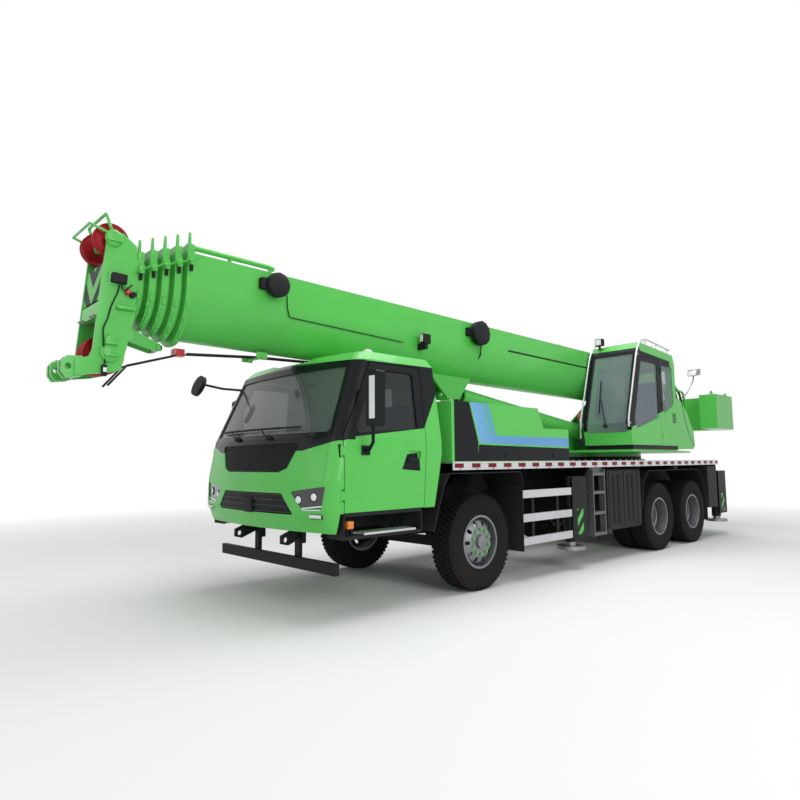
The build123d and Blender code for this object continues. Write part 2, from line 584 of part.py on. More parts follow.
def make_cab():
    """Driver's cab: shell, doors, glass, front panels, grilles, lamps and fittings."""
    outer = cab_loft(0)
    wall = outer - cab_loft(CAB_WALL, CAB_FLOOR_Z - CAB_WALL + CAB_FLOOR)
    skin = cab_loft(GLASS_DEPTH) - cab_loft(GLASS_DEPTH + GLASS)
    fascia_zone = box(FASCIA_X, 2600, -1400, 1400, 0, BELT_Z)
    hollow = cab_loft(CAB_WALL, 700)

    trough = prism_x([(-460, ROOF_Z + 40), (-400, 2525), (330, 2525), (390, ROOF_Z + 40)], 600, 2300)
    shell = wall - fascia_zone - box(-100, FASCIA_X + 600, -1400, 1400, 0, CAB_FLOOR_Z)
    shell += box(BULKHEAD_X, FASCIA_X - SEAT_GAP, -1195, 1195, CAB_FLOOR_Z, BELT_Z)
    shell += box(BULKHEAD_X, 2200, -1150, 1150, BELT_Z, BELT_Z + 30) & outer
    shell -= prism_y([(500, 1537), (CAB_REAR_X, 1537), (840, 980), (500, 980)], -1400, 1400)
    shell += prism_y([(CAB_REAR_X, 1537), (780, 1537), (900, CAB_FLOOR_Z), (840, CAB_FLOOR_Z)], -1240, 1240)
    shell -= trough
    shell += box(CAB_REAR_X + 90, 1750, -400, 330, 2495, 2525) & outer
    shell -= prism_x(WINDSCREEN, 1500, 2600, 40)
    shell -= prism_x(REAR_WINDOW, 600, 1000, 40)
    door_hole = prism_y(DOOR_OUTLINE, 1000, 1400)
    grown = prism_y(grow(DOOR_OUTLINE, DOOR_GAP), 1000, 1400)
    floor_top = CAB_FLOOR_Z + CAB_FLOOR + 1
    shell -= both_sides(grown - box(CAB_REAR_X, FASCIA_X, 0, DOOR_INNER_Y - DOOR_GAP, 0, floor_top))

    door = (wall & door_hole) - prism_y(DOOR_WINDOW, 1000, 1400, 40)
    door -= box(CAB_REAR_X, FASCIA_X, 0, DOOR_INNER_Y, 0, floor_top)
    door -= prism_y([(1030, 1560), (1200, 1570), (1210, 1500), (1040, 1490)], 1225, 1400, 12)
    for z in (1150, 1560):
        notch = box(2020, 2092, 1150, 1400, z - 60, z + 60)
        shell -= both_sides(notch)
        pin = rod((HINGE_X, HINGE_Y, z - 61), (HINGE_X, HINGE_Y, z + 61), HINGE_PIN)
        shell += both_sides(pin & box(1900, FASCIA_X - SEAT_GAP, 1000, 1400, 0, 2000))
        knuckle = rod((HINGE_X, HINGE_Y, z - 40), (HINGE_X, HINGE_Y, z + 40), 15)
        knuckle += box(2010, HINGE_X, HINGE_Y - 12, HINGE_Y + 12, z - 40, z + 40)
        knuckle -= rod((HINGE_X, HINGE_Y, z - 50), (HINGE_X, HINGE_Y, z + 50), HINGE_PIN + PIN_GAP)
        door += knuckle
    nodes["cab_shell"] = shell
    near_skin = cab_loft(-SEAT_GAP)
    nodes["door_left"] = door + (make_mirror() - near_skin)
    nodes["door_right"] = mirror(door + (make_folded_mirror() - near_skin), about=Plane.XZ)

    pane = skin & prism_y(DOOR_WINDOW, 1000, 1400, 40)
    nodes["door_left_glass"] = pane
    nodes["door_right_glass"] = mirror(pane, about=Plane.XZ)
    windscreen = skin & prism_x(WINDSCREEN, 1500, 2600, 40)
    nodes["cab_glass"] = windscreen + (skin & prism_x(REAR_WINDOW, 600, 1000, 40))

    fascia = (outer - hollow) & fascia_zone
    bumper = fascia & box(2000, 2600, -1400, 1400, 0, BUMPER_TOP - SEAT_GAP)
    bumper += box(FASCIA_X, 2180, -1150, 1150, BUMPER_BOTTOM, BUMPER_BOTTOM + 30) & outer
    lamps_cut = both_sides(prism_x(LAMP_OUTLINE, 2000, 2600, 14))
    bumper = bumper - lamps_cut - prism_x(GRILLE_OUTLINE, 2050, 2600, 20)
    panel = fascia & box(2000, 2600, -1400, 1400, BUMPER_TOP, BELT_Z - SEAT_GAP)
    panel -= prism_x(MESH_OUTLINE, 2050, 2600, 30)
    nodes["front_panels"] = bumper + panel
    recess = cab_loft(12, 700) - cab_loft(40, 700)
    mesh = recess & prism_x(MESH_OUTLINE, 2050, 2600, 30)
    nodes["front_grilles"] = mesh + (recess & prism_x(GRILLE_OUTLINE, 2050, 2600, 20))
    nodes["headlamps"] = recess & lamps_cut


def mirror_foot():
    """Foot of a main mirror on the door's skin."""
    return box(1740, 1840, 1230, 1272, 1520, 1610)


def make_mirror():
    """Main mirror on its arm from the left door."""
    arm = tube_path([(1790, 1258, 1565), (1800, 1330, 1570), (1830, 1420, 1640), (1860, 1450, 1800)], 16, 30)
    head = prism_x([(1400, 1790), (1545, 1775), (1560, 2290), (1415, 2320)], 1800, 1905, 25)
    return arm + mirror_foot() + head


def make_folded_mirror():
    """Main mirror of the right door, drawn on the left, turned in against the cab's side."""
    arm = tube_path([(1790, 1258, 1565), (1785, 1335, 1570), (1750, 1350, 1640), (1710, 1350, 1750)], 16, 30)
    head = prism_x([(1290, 1720), (1405, 1705), (1420, 2220), (1300, 2250)], 1650, 1755, 25)
    return arm + mirror_foot() + head


def make_cab_fittings():
    """Mirrors, front-view mirror, steps, cab inside and wheel-arch guards."""
    arm = tube_path([(1790, -1050, 2340), (2000, -1200, 2360), (2180, -1380, 2420)], 14, 40)
    dish = Pos(2200, -1425, 2400) * Rot(0, 70, -20) * Cylinder(130, 50)
    front_view = (arm + dish) - cab_loft(-SEAT_GAP)

    treads = box(1030, 2040, 1000, 1250, 955, CAB_FLOOR_Z) + box(1030, 2040, 1080, 1250, 745, 775)
    treads += box(1030, 1042, 1000, 1250, 745, 985) + box(2028, 2040, 1000, 1250, 745, 985)
    nodes["cab_fittings"] = both_sides(treads) + front_view

    wall_x = BULKHEAD_X - SEAT_GAP
    dash_points = [(wall_x, 1250), (wall_x, 1640), (1900, 1660), (1700, 1600), (1700, 1540), (1860, 1250)]
    dash = prism_y(dash_points, -1130, 1130)
    column = rod((1850, 600, 1356), (1548, 600, 1621), 32)
    wheel = Plane(origin=(1550, 600, 1620), z_dir=(-0.7, 0, 0.72)) * Torus(215, 14)
    spokes = Plane(origin=(1550, 600, 1620), z_dir=(-0.7, 0, 0.72)) * Box(420, 34, 12)
    steering = column + wheel + spokes - prism_y(grow(dash_points, SEAT_GAP), -1130, 1130)
    seats = dash + steering
    for y in (600, -600):
        seat = box(950, 1440, y - 240, y + 240, 1330, 1450) + box(1000, 1390, y - 190, y + 190, 1045, 1330)
        back = prism_y([(880, 1380), (1000, 1380), (900, 2080), (800, 2060)], y - 240, y + 240, 30)
        seats += seat + back
    nodes["cab_interior"] = seats

    arch_outer = [(-760, 1170), (-700, 1330), (600, 1330), (700, 1180), (860, 730)]
    arch_inner = [(848, 726), (690, 1172), (592, 1318), (-692, 1318), (-748, 1168)]
    arch = prism_y(arch_outer + arch_inner, 640, 1250)
    return both_sides(arch)


def make_deck():
    """Deck plates on cantilever ribs with the marker rails along both edges."""
    inner = DECK_HALF - 870
    plate = box(DECK_REAR_X, DECK_FRONT_X, inner, DECK_HALF, FRAME_TOP, DECK_TOP)
    ribs = None
    for x in (300, -350, -1000, -1700, -2340, -2810, -3900, -5175, -6460, -6900, -7100):
        rib = box(x - RIB_PLATE / 2, x + RIB_PLATE / 2, RAIL_HALF, DECK_HALF - 30, RIB_BOTTOM, FRAME_TOP)
        ribs = rib if ribs is None else ribs + rib
    edge = box(DECK_REAR_X, DECK_FRONT_X, DECK_HALF, DECK_HALF + SIDE_RAIL_PLATE, SIDE_RAIL_BOTTOM, DECK_TOP)
    nodes["deck"] = both_sides(plate + ribs + edge)


def make_side_fittings(arches):
    """Guard rails, ladders, tanks, mudguards and toolboxes along the sides."""
    guards = None
    for z in (1000, 710, 430):
        rail = box(-1840, -730, 1205, 1245, z, z + 95)
        guards = rail if guards is None else guards + rail
    for x in (-1000, -1560):
        guards += box(x - 25, x + 25, 1175, 1205, 430, 1095)
        guards += box(x - 25, x + 25, RAIL_HALF, 1205, 1040, 1080)
    ladder = box(-2450, -2430, 1150, 1240, 390, RIB_BOTTOM) + box(-2770, -2750, 1150, 1240, 390, RIB_BOTTOM)
    for z in (400, 690, 980, 1240):
        ladder += box(-2770, -2430, 1120, 1240, z, z + 40)
    ladder += box(-2770, -2430, 1180, 1200, RIB_BOTTOM - 60, FRAME_TOP)
    nodes["guards_and_ladders"] = both_sides(guards + ladder)

    tank = box(-3880, -2825, 640, 1240, 430, RIB_BOTTOM)
    tank = fillet(tank.edges().filter_by(Axis.X), 60)
    for x in (-3800, -3350, -2900):
        tank += box(x - 22, x + 22, 640, 1248, 470, RIB_BOTTOM - 40)
    tank += box(-3900, -3860, 700, 1180, RIB_BOTTOM - 80, RIB_BOTTOM)
    guard_outer = [(-3900, 700), (-4000, 1130), (-4180, 1290), (-6180, 1290), (-6400, 1130), (-6560, 640)]
    guard_inner = [(-6548, 636), (-6390, 1124), (-6174, 1278), (-4186, 1278), (-4010, 1124), (-3912, 696)]
    mudguard = prism_y(guard_outer + guard_inner, 640, 1250)
    mudguard += box(-5190, -5160, 640, 1250, 1290, RIB_BOTTOM)
    nodes["mudguards"] = both_sides(mudguard) + arches
    case = box(-7080, -6640, 700, 1250, 560, RIB_BOTTOM)
    nodes["tanks_and_boxes"] = both_sides(tank + case)


def make_hood():
    """Engine cover behind the cab: two raised sides and a lower middle, open below."""
    profile_side = [(DECK_FRONT_X, DECK_TOP), (DECK_FRONT_X, 2120), (-1080, 2120), (-1200, 1870),
                    (-1790, 1870), (-1790, DECK_TOP)]
    side = cross_wall(profile_side, 20, 450, 1262)
    side -= box(-1770, DECK_FRONT_X - 20, 470, 1242, DECK_TOP - 5, DECK_TOP + 30)
    nodes["hood"] = both_sides(side) + box(-1000, 500, -450, 450, 1850, 1870)
    nodes["engine"] = box(-950, 450, -ENGINE_HALF, ENGINE_HALF, ENGINE_BOTTOM, 1750)
    rest = box(420, 500, -380, 380, 2480, 2545) + both_sides(box(430, 490, 300, 380, 1870, 2480))
    nodes["chassis_frame"] += rest


def boom_section_face(width, height, flat, top, x):
    """Cross section of the boom: flat top and upper sides over a round belly."""
    half = width / 2
    left = EllipticalCenterArc((0, 0), half, height - flat, start_angle=180, arc_size=180)
    belly = Plane(origin=(x, 0, top - flat), x_dir=(0, 1, 0), z_dir=(1, 0, 0)) * left
    corners = [(x, half, top - flat), (x, half, top), (x, -half, top), (x, -half, top - flat)]
    straight = [Line(start, end) for start, end in zip(corners, corners[1:])]
    return make_face([belly, *straight])


def boom_tube(width, height, flat, top, x_low, x_high):
    """Solid bar of the boom's section between two values of X."""
    return extrude(boom_section_face(width, height, flat, top, x_low), amount=x_high - x_low, dir=(1, 0, 0))


def section_size(index):
    """Width, height, flat depth and top of one boom section, outermost first."""
    shrink = SECTION_STEP * index
    return BOOM_WIDTH - shrink, BOOM_HEIGHT - shrink, BOOM_FLAT - shrink / 2, PIVOT_Z + BOOM_TOP - shrink / 2


def make_section(index):
    """One telescopic section with the collar that guides the next one."""
    width, height, flat, top = section_size(index)
    front = PIVOT_X + BOOM_LENGTH + COLLAR_PITCH * index
    rear = PIVOT_X - BOOM_TAIL if index == 0 else front - TELESCOPE_STROKE - SECTION_OVERLAP
    wall = BOOM_WALL
    tube = boom_tube(width, height, flat, top, rear, front)
    inside = (width - 2 * wall, height - 2 * wall, flat - wall, top - wall)
    tube -= boom_tube(*inside, rear - 5, front + 5)
    rise = COLLAR_RISE + 6 * index
    collar = boom_tube(width + 2 * rise, height + 2 * rise, flat + rise, top + rise, front - COLLAR, front)
    if index < SECTIONS - 1:
        inner = section_size(index + 1)
        size = (inner[0] + 2 * PIN_GAP, inner[1] + 2 * PIN_GAP, inner[2] + PIN_GAP, inner[3] + PIN_GAP)
    else:
        size = inside
    collar -= boom_tube(*size, front - COLLAR - 10, front + 10)
    fin_hole = boom_tube(*inside, front - COLLAR - 10, front + 10)
    fin_top = top + rise + 120
    for y in (-width / 2 - rise + 30, width / 2 + rise - 30):
        fin_points = [(y - 26, top), (y + 26, top), (y + 6, fin_top), (y - 6, fin_top)]
        fin = prism_x(fin_points, front - 34, front - 14)
        collar += fin - fin_hole
    return tube + collar


def tilt(shape):
    """Turn a piece of the level boom up about the boom's foot pin."""
    return Pos(PIVOT_X, 0, PIVOT_Z) * Rot(0, -BOOM_TILT, 0) * Pos(-PIVOT_X, 0, -PIVOT_Z) * shape


# Outline of the head's side plates in the stowed boom, X and Z
HEAD_OUTLINE = (
    (3592, 3376), (3716, 3473), (3847, 3439), (3928, 2424), (3953, 2354), (4060, 2320), (4060, 2186),
    (3799, 2226), (3696, 2257), (3605, 2697), (3592, 2769),
)


def stowed_points(points):
    """Points of the stowed boom moved into the level drawing."""
    return [untilt(x, z) for x, z in points]


def make_head():
    """Boom head in front of the innermost section: side plates, pins and jib fork."""
    front = PIVOT_X + BOOM_LENGTH + COLLAR_PITCH * (SECTIONS - 1)
    plate = prism_y(stowed_points(HEAD_OUTLINE), HEAD_HALF - HEAD_PLATE, HEAD_HALF)
    back = box(front, front + 15, -HEAD_HALF, HEAD_HALF, 2640, 3130)
    shelf_points = [(3600, 2840), (3890, 2840), (3900, 2710), (3600, 2710)]
    shelf = prism_y(stowed_points(shelf_points), -HEAD_HALF + 2, HEAD_HALF - 2)
    head = both_sides(plate) + back + shelf
    for x, z in ((HEAD_PIN_X, HEAD_PIN_Z), (LOW_PIN_X, LOW_PIN_Z)):
        level_x, level_z = untilt(x, z)
        head += rod((level_x, -HEAD_HALF - 20, level_z), (level_x, HEAD_HALF + 20, level_z), HEAD_PIN)
    prong_points = [(4000, 2352), (4115, 2345), (4150, 2300), (4150, 2215), (4112, 2165), (4000, 2180)]
    prong = prism_y(stowed_points(prong_points), HEAD_HALF - 60, HEAD_HALF - HEAD_PLATE / 2)
    prong += prism_y(stowed_points(prong_points), HEAD_HALF - 150, HEAD_HALF - 110)
    fork_points = [(3960, 2346), (4045, 2330), (4045, 2190), (3960, 2205)]
    fork = prism_y(stowed_points(fork_points), HEAD_HALF - 150, HEAD_HALF - 5)
    level_x, level_z = untilt(JIB_PIN_X, JIB_PIN_Z)
    jib_pin = rod((level_x, 0, level_z), (level_x, HEAD_HALF + 50, level_z), JIB_PIN)
    head += both_sides(prong + fork - jib_pin)
    return head - box(front - COLLAR, front + SEAT_GAP, -2 * HEAD_HALF, 2 * HEAD_HALF, 0, 2 * PIVOT_Z)


def make_sheaves():
    """Rope sheaves on the two head pins."""
    bore = HEAD_PIN + SEAT_GAP
    sheaves = None
    for x, z, rim, places in ((HEAD_PIN_X, HEAD_PIN_Z, HEAD_SHEAVE, (-170, 170)),
                              (LOW_PIN_X, LOW_PIN_Z, LOW_SHEAVE, (-66, 0, 66))):
        level_x, level_z = untilt(x, z)
        groove = [(bore, -20), (rim - 22, -20), (rim, -28), (rim, -18), (rim - 20, 0), (rim, 18), (rim, 28),
                  (rim - 22, 20), (bore, 20)]
        for y in places:
            sheave = ring_y(groove, level_x, y, level_z)
            sheaves = sheave if sheaves is None else sheaves + sheave
    return sheaves


def make_boom():
    """Five telescopic sections, head, sheaves, cable reels and the lug for the cylinder."""
    base = make_section(0)
    width, height, flat, top = section_size(0)
    solid_base = boom_tube(width, height, flat, top, PIVOT_X - BOOM_TAIL - 5, PIVOT_X + BOOM_LENGTH)
    boss = rod((PIVOT_X, width / 2 - BOOM_WALL / 2, PIVOT_Z), (PIVOT_X, width / 2 + 6, PIVOT_Z), 150)
    base += both_sides(boss)
    base -= rod((PIVOT_X, -width, PIVOT_Z), (PIVOT_X, width, PIVOT_Z), FOOT_PIN + PIN_GAP)
    eye_x, eye_z = untilt(LUFF_EYE_X, LUFF_EYE_Z)
    belly_z = top - height + 120
    ear_points = [(eye_x - 420, belly_z), (eye_x + 560, belly_z), (eye_x + 130, eye_z - 90),
                  (eye_x - 110, eye_z - 90)]
    inner_y = LUFF_EYE_WIDTH / 2 + RUNNING_GAP
    ear = prism_y(ear_points, inner_y, inner_y + 40, 40)
    lug = both_sides(ear) - solid_base
    for index in range(1, SECTIONS):
        section = make_section(index)
        if index == SECTIONS - 1:
            section += make_head()
        nodes[f"boom_section_{index + 1}"] = tilt(section)
    nodes["head_sheaves"] = tilt(make_sheaves())
    reels = None
    for x, radius in ((2250, 120), (-1000, 165)):
        reel = rod((x, width / 2 - 2, top - 150), (x, width / 2 + 40, top - 150), 60)
        reel += rod((x, width / 2 + 40, top - 150), (x, width / 2 + 130, top - 150), radius)
        reels = reel if reels is None else reels + reel
    nodes["boom_base"] = tilt(base + lug + reels)


def untilt(x, z):
    """Where a point of the stowed boom lies in the level drawing."""
    turn = radians(BOOM_TILT)
    dx, dz = x - PIVOT_X, z - PIVOT_Z
    return PIVOT_X + dx * cos(turn) + dz * sin(turn), PIVOT_Z - dx * sin(turn) + dz * cos(turn)


def luff_stroke():
    """How far the luffing cylinder's rod comes out over the boom's whole travel."""
    turn = radians(LUFF_ANGLE)
    eye_x, eye_z = LUFF_EYE_X - PIVOT_X, LUFF_EYE_Z - PIVOT_Z
    high_x = PIVOT_X + eye_x * cos(turn) - eye_z * sin(turn)
    high_z = PIVOT_Z + eye_x * sin(turn) + eye_z * cos(turn)
    closed = hypot(LUFF_EYE_X - LUFF_BASE_X, LUFF_EYE_Z - LUFF_BASE_Z)
    return hypot(high_x - LUFF_BASE_X, high_z - LUFF_BASE_Z) - closed


def make_luff_cylinder():
    """Luffing cylinder from the platform to the lug under the boom."""
    dx, dz = LUFF_EYE_X - LUFF_BASE_X, LUFF_EYE_Z - LUFF_BASE_Z
    length = hypot(dx, dz)
    turn = degrees(atan2(dz, dx))
    gland = length - 260
    barrel = rod((120, 0, 0), (gland, 0, 0), LUFF_BARREL_RADIUS)
    barrel -= rod((150, 0, 0), (gland + 60, 0, 0), LUFF_BORE)
    foot = rod((0, -LUFF_EYE_WIDTH / 2, 0), (0, LUFF_EYE_WIDTH / 2, 0), 110)
    barrel += foot + box(0, 140, -LUFF_EYE_WIDTH / 2, LUFF_EYE_WIDTH / 2, -100, 100)
    barrel -= rod((0, -200, 0), (0, 200, 0), LUFF_PIN + PIN_GAP)
    face = gland - luff_stroke() - 70
    piston = rod((face - LUFF_PISTON, 0, 0), (face, 0, 0), LUFF_BORE - PIN_GAP)
    piston += rod((face - LUFF_PISTON, 0, 0), (length - 80, 0, 0), LUFF_ROD_RADIUS)
    eye = rod((length, -LUFF_EYE_WIDTH / 2, 0), (length, LUFF_EYE_WIDTH / 2, 0), 105)
    eye -= rod((length, -200, 0), (length, 200, 0), LUFF_PIN + PIN_GAP)
    place = Pos(LUFF_BASE_X, 0, LUFF_BASE_Z) * Rot(0, -turn, 0)
    nodes["luff_barrel"] = place * barrel
    nodes["luff_rod"] = place * (piston - rod((length, -200, 0), (length, 200, 0), 104) + eye)


def make_turntable():
    """Revolving platform: ring, plates that carry the boom foot, arms and tail."""
    ring = Cylinder(RING_RADIUS, RING_HEIGHT) - Cylinder(RING_RADIUS - RING_WALL, RING_HEIGHT)
    ring = Pos(SLEW_X, 0, RING_TOP + SEAT_GAP + RING_HEIGHT / 2) * ring
    plan = [(-3800, -560), (-3800, 1180), (-5500, 1180), (-6200, 900), (-7300, 700), (-7300, -700),
            (-6200, -900), (-5200, -900)]
    floor = prism_z(plan, PLATFORM_Z, PLATFORM_TOP)
    tail_x = WEIGHT_REAR_X + WEIGHT_SLAB + SEAT_GAP
    cheek = [(-3950, PLATFORM_TOP), (-3950, 1800), (-4150, 2120), (-4480, 2120), (-5950, 3060), (-6300, 3170),
             (-6560, 3120), (-6700, 2900), (-7050, 2450), (tail_x, 2420), (tail_x, 2100),
             (-7300, PLATFORM_TOP)]
    side_y = BOOM_WIDTH / 2 + 12
    plate = prism_y(cheek, side_y, side_y + CHEEK)
    pin = rod((PIVOT_X, -side_y - 60, PIVOT_Z), (PIVOT_X, side_y + 60, PIVOT_Z), FOOT_PIN)
    pin_y = side_y + CHEEK
    luff_pin = rod((LUFF_BASE_X, -pin_y, LUFF_BASE_Z), (LUFF_BASE_X, pin_y, LUFF_BASE_Z), LUFF_PIN)
    body = floor + both_sides(plate) + ring + luff_pin
    body += pin
    body += box(-5650, -5560, -side_y - 5, side_y + 5, PLATFORM_TOP, 2350)
    nodes["turntable"] = body
    nodes["counterweight"] = make_counterweight()
    nodes["winches"] = make_winches(side_y)


def make_counterweight():
    """Ballast block: a rear slab with two arms forwards beside the winches."""
    slab_x = WEIGHT_REAR_X + WEIGHT_SLAB
    arm_y = WEIGHT_HALF - 330
    plan = [(WEIGHT_FRONT_X, arm_y), (WEIGHT_FRONT_X, WEIGHT_HALF), (WEIGHT_REAR_X, WEIGHT_HALF),
            (WEIGHT_REAR_X, -WEIGHT_HALF), (WEIGHT_FRONT_X, -WEIGHT_HALF), (WEIGHT_FRONT_X, -arm_y),
            (slab_x, -arm_y), (slab_x, arm_y)]
    block = prism_z(plan, WEIGHT_BOTTOM, WEIGHT_TOP)
    corners = block.edges().filter_by(Axis.Z).sort_by(Axis.X)[:2]
    block = fillet(corners, 260)
    return block


def make_winches(side_y):
    """Two rope winches between the platform's tail plates."""
    winches = None
    for x, z in ((-6950, 2020), (-7330, 2130)):
        drum = rod((x, -side_y + SEAT_GAP, z), (x, side_y - SEAT_GAP, z), 150)
        drum += rod((x, -side_y + 30, z), (x, -side_y + 50, z), 185)
        drum += rod((x, side_y - 50, z), (x, side_y - 30, z), 185)
        winches = drum if winches is None else winches + drum
    return winches


OP_FLOOR_Z = PLATFORM_TOP + SEAT_GAP
OP_OUTLINE = [(-3790, OP_FLOOR_Z), (-3720, 2050), (-4090, 3250), (-4200, 3390), (-5430, 3310), (-5500, 3150),
              (-5500, OP_FLOOR_Z)]
OP_DOOR = [(-3850, 1700), (-3800, 2060), (-4135, 3160), (-4850, 3160), (-4850, 1700)]
OP_DOOR_WINDOW = [(-3960, 1960), (-3880, 2100), (-4190, 3090), (-4780, 3090), (-4780, 2170)]


def make_operator_cab():
    """Operator's cab beside the boom, with its door hinged at the rear."""
    shell = cross_wall(OP_OUTLINE, OP_WALL, OP_INNER_Y, OP_OUTER_Y)
    left_y, right_y = OP_OUTER_Y - 60, OP_INNER_Y + 60
    front_cut = [(right_y, 1900), (left_y, 1900), (left_y, 3200), (right_y, 3200)]
    shell -= prism_x(front_cut, -4150, -3600, 40)
    right_cut = prism_y([(-4000, 2150), (-4230, 3050), (-5350, 3050), (-5350, 2150)], 300, 500, 40)
    shell -= right_cut
    rear_cut = prism_x([(520, 2250), (1050, 2250), (1050, 3050), (520, 3050)], -5600, -5400, 40)
    shell -= rear_cut
    grown = prism_y(grow(OP_DOOR, DOOR_GAP), 1100, 1300)
    shell -= grown
    rear_pane = prism_y([(-4960, 2230), (-4960, 3090), (-5380, 3090), (-5400, 2420)], 1100, 1300, 40)
    shell -= rear_pane
    door = prism_y(OP_DOOR, OP_OUTER_Y - OP_WALL, OP_OUTER_Y) - prism_y(OP_DOOR_WINDOW, 1100, 1300, 40)
    hinge_y = OP_OUTER_Y - 14
    for z in (1850, 2400, 2980):
        shell -= box(OP_HINGE_X - 24, -4840, 1100, 1300, z - 50, z + 50)
        shell += rod((OP_HINGE_X, hinge_y, z - 51), (OP_HINGE_X, hinge_y, z + 51), HINGE_PIN)
        knuckle = rod((OP_HINGE_X, hinge_y, z - 35), (OP_HINGE_X, hinge_y, z + 35), 14)
        knuckle += box(OP_HINGE_X, -4835, hinge_y - 10, hinge_y + 10, z - 35, z + 35)
        knuckle -= rod((OP_HINGE_X, hinge_y, z - 45), (OP_HINGE_X, hinge_y, z + 45), HINGE_PIN + PIN_GAP)
        door += knuckle
    nodes["operator_cab"] = shell
    nodes["operator_door"] = door
    inner_face = make_face(Polyline(*[(x, OP_INNER_Y, z) for x, z in OP_OUTLINE], close=True))
    depth = OP_OUTER_Y - OP_INNER_Y
    outer_layer = extrude(offset(inner_face, -10, kind=Kind.INTERSECTION), amount=depth, dir=(0, 1, 0))
    inner_outline = offset(inner_face, -10 - GLASS, kind=Kind.INTERSECTION)
    inner_layer = extrude(inner_outline, amount=depth, dir=(0, 1, 0))
    layer = outer_layer - inner_layer
    side_layer = box(-5600, -3700, OP_OUTER_Y - 20, OP_OUTER_Y - 12, 1600, 3400)
    other_layer = box(-5600, -3700, OP_INNER_Y + 12, OP_INNER_Y + 20, 1600, 3400)
    glass = (layer & prism_x(front_cut, -4150, -3600, 40)) + (layer & rear_cut) + (other_layer & right_cut)
    glass += side_layer & rear_pane
    nodes["operator_glass"] = glass
    nodes["operator_door_glass"] = side_layer & prism_y(OP_DOOR_WINDOW, 1100, 1300, 40)
    seat = box(-4990, -4500, 560, 1020, 2050, 2170) + box(-4900, -4560, 620, 960, OP_FLOOR_Z + OP_WALL, 2050)
    seat += prism_y([(-5080, 2100), (-4960, 2100), (-5060, 2820), (-5160, 2800)], 570, 1010, 30)
    nodes["operator_seat"] = seat
    cover = [(-5495, 1650), (-5495, 2550), (-5700, 2530), (-6000, 2300), (-6250, 1950), (-6280, 1720),
             (-6200, 1650)]
    nodes["operator_cab"] += prism_y(cover, 640, 1190, 30)


def make_outriggers():
    """Four sliding beams, each with its jack and float."""
    for end, centre_x in (("front", FRONT_OUTRIGGER_X), ("rear", REAR_OUTRIGGER_X)):
        for side_name, side in (("left", 1), ("right", -1)):
            x = centre_x + side * CELL_PITCH / 2
            half = BEAM_WIDTH / 2
            tail = BOX_HALF - BEAM_OVERLAP - BEAM_STROKE
            beam_top = BEAM_Z + BEAM_HEIGHT / 2
            pad_top = BOX_TOP - BOX_WALL - SEAT_GAP
            beam = box(x - half, x + half, tail, JACK_Y - 40, beam_top - BEAM_HEIGHT, beam_top)
            bore = half - BEAM_WALL
            low, high = beam_top - BEAM_HEIGHT + BEAM_WALL, beam_top - BEAM_WALL
            beam -= box(x - bore, x + bore, tail - 5, JACK_Y - 100, low, high)
            beam += box(x - half + 10, x + half - 10, tail, tail + PAD_LENGTH, beam_top - 1, pad_top)
            beam += rod((x, JACK_Y, JACK_BOTTOM), (x, JACK_Y, JACK_TOP), JACK_RADIUS)
            beam += box(centre_x - 190, centre_x + 190, JACK_Y + 92, JACK_Y + 104, 420, JACK_TOP)
            beam += box(x - 20, x + 20, JACK_Y + 60, JACK_Y + 96, 420, JACK_TOP)
            beam -= rod((x, JACK_Y, JACK_BOTTOM - 5), (x, JACK_Y, JACK_TOP - 30), JACK_RADIUS - JACK_WALL)
            head = JACK_BOTTOM + JACK_STROKE + JACK_OVERLAP
            jack = rod((x, JACK_Y, FLOAT_TOP), (x, JACK_Y, head), JACK_RADIUS - JACK_WALL - PIN_GAP)
            pad = rod((x, JACK_Y, FLOAT_TOP - FLOAT_THICKNESS), (x, JACK_Y, FLOAT_TOP), FLOAT_RADIUS)
            shapes = (beam, jack + pad)
            if side < 0:
                shapes = tuple(mirror(shape, about=Plane.XZ) for shape in shapes)
            nodes[f"outrigger_{end}_{side_name}"] = shapes[0]
            nodes[f"jack_{end}_{side_name}"] = shapes[1]


make_wheels()
make_axles()
make_chassis()
make_front_end()
make_cab()
wheel_arches = make_cab_fittings()
make_deck()
make_side_fittings(wheel_arches)
make_hood()
make_boom()
make_luff_cylinder()
make_turntable()
make_operator_cab()
make_outriggers()

whole = Compound(children=[Compound(shape.solids()) for shape in nodes.values()]).bounding_box()
ORIGIN_X = round((whole.min.X + whole.max.X) / 2)

if __name__ == "__main__":
    for name, shape in nodes.items():
        solids = [Pos(-ORIGIN_X, 0, 0) * solid for solid in shape.solids()]
        export_step(Compound(solids) if len(solids) > 1 else solids[0], f"parts/{name}.step")
    print("whole", whole.min, whole.max, "origin", ORIGIN_X, "nodes", len(nodes))
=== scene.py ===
"""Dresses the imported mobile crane, boom stowed over the driver's cab, and sets a plain studio round it."""
import logging
import math
from dataclasses import dataclass, field
from enum import Enum
from typing import Callable, Iterable, Optional, Sequence, Union

import bmesh
import bpy
from mathutils import Matrix, Vector


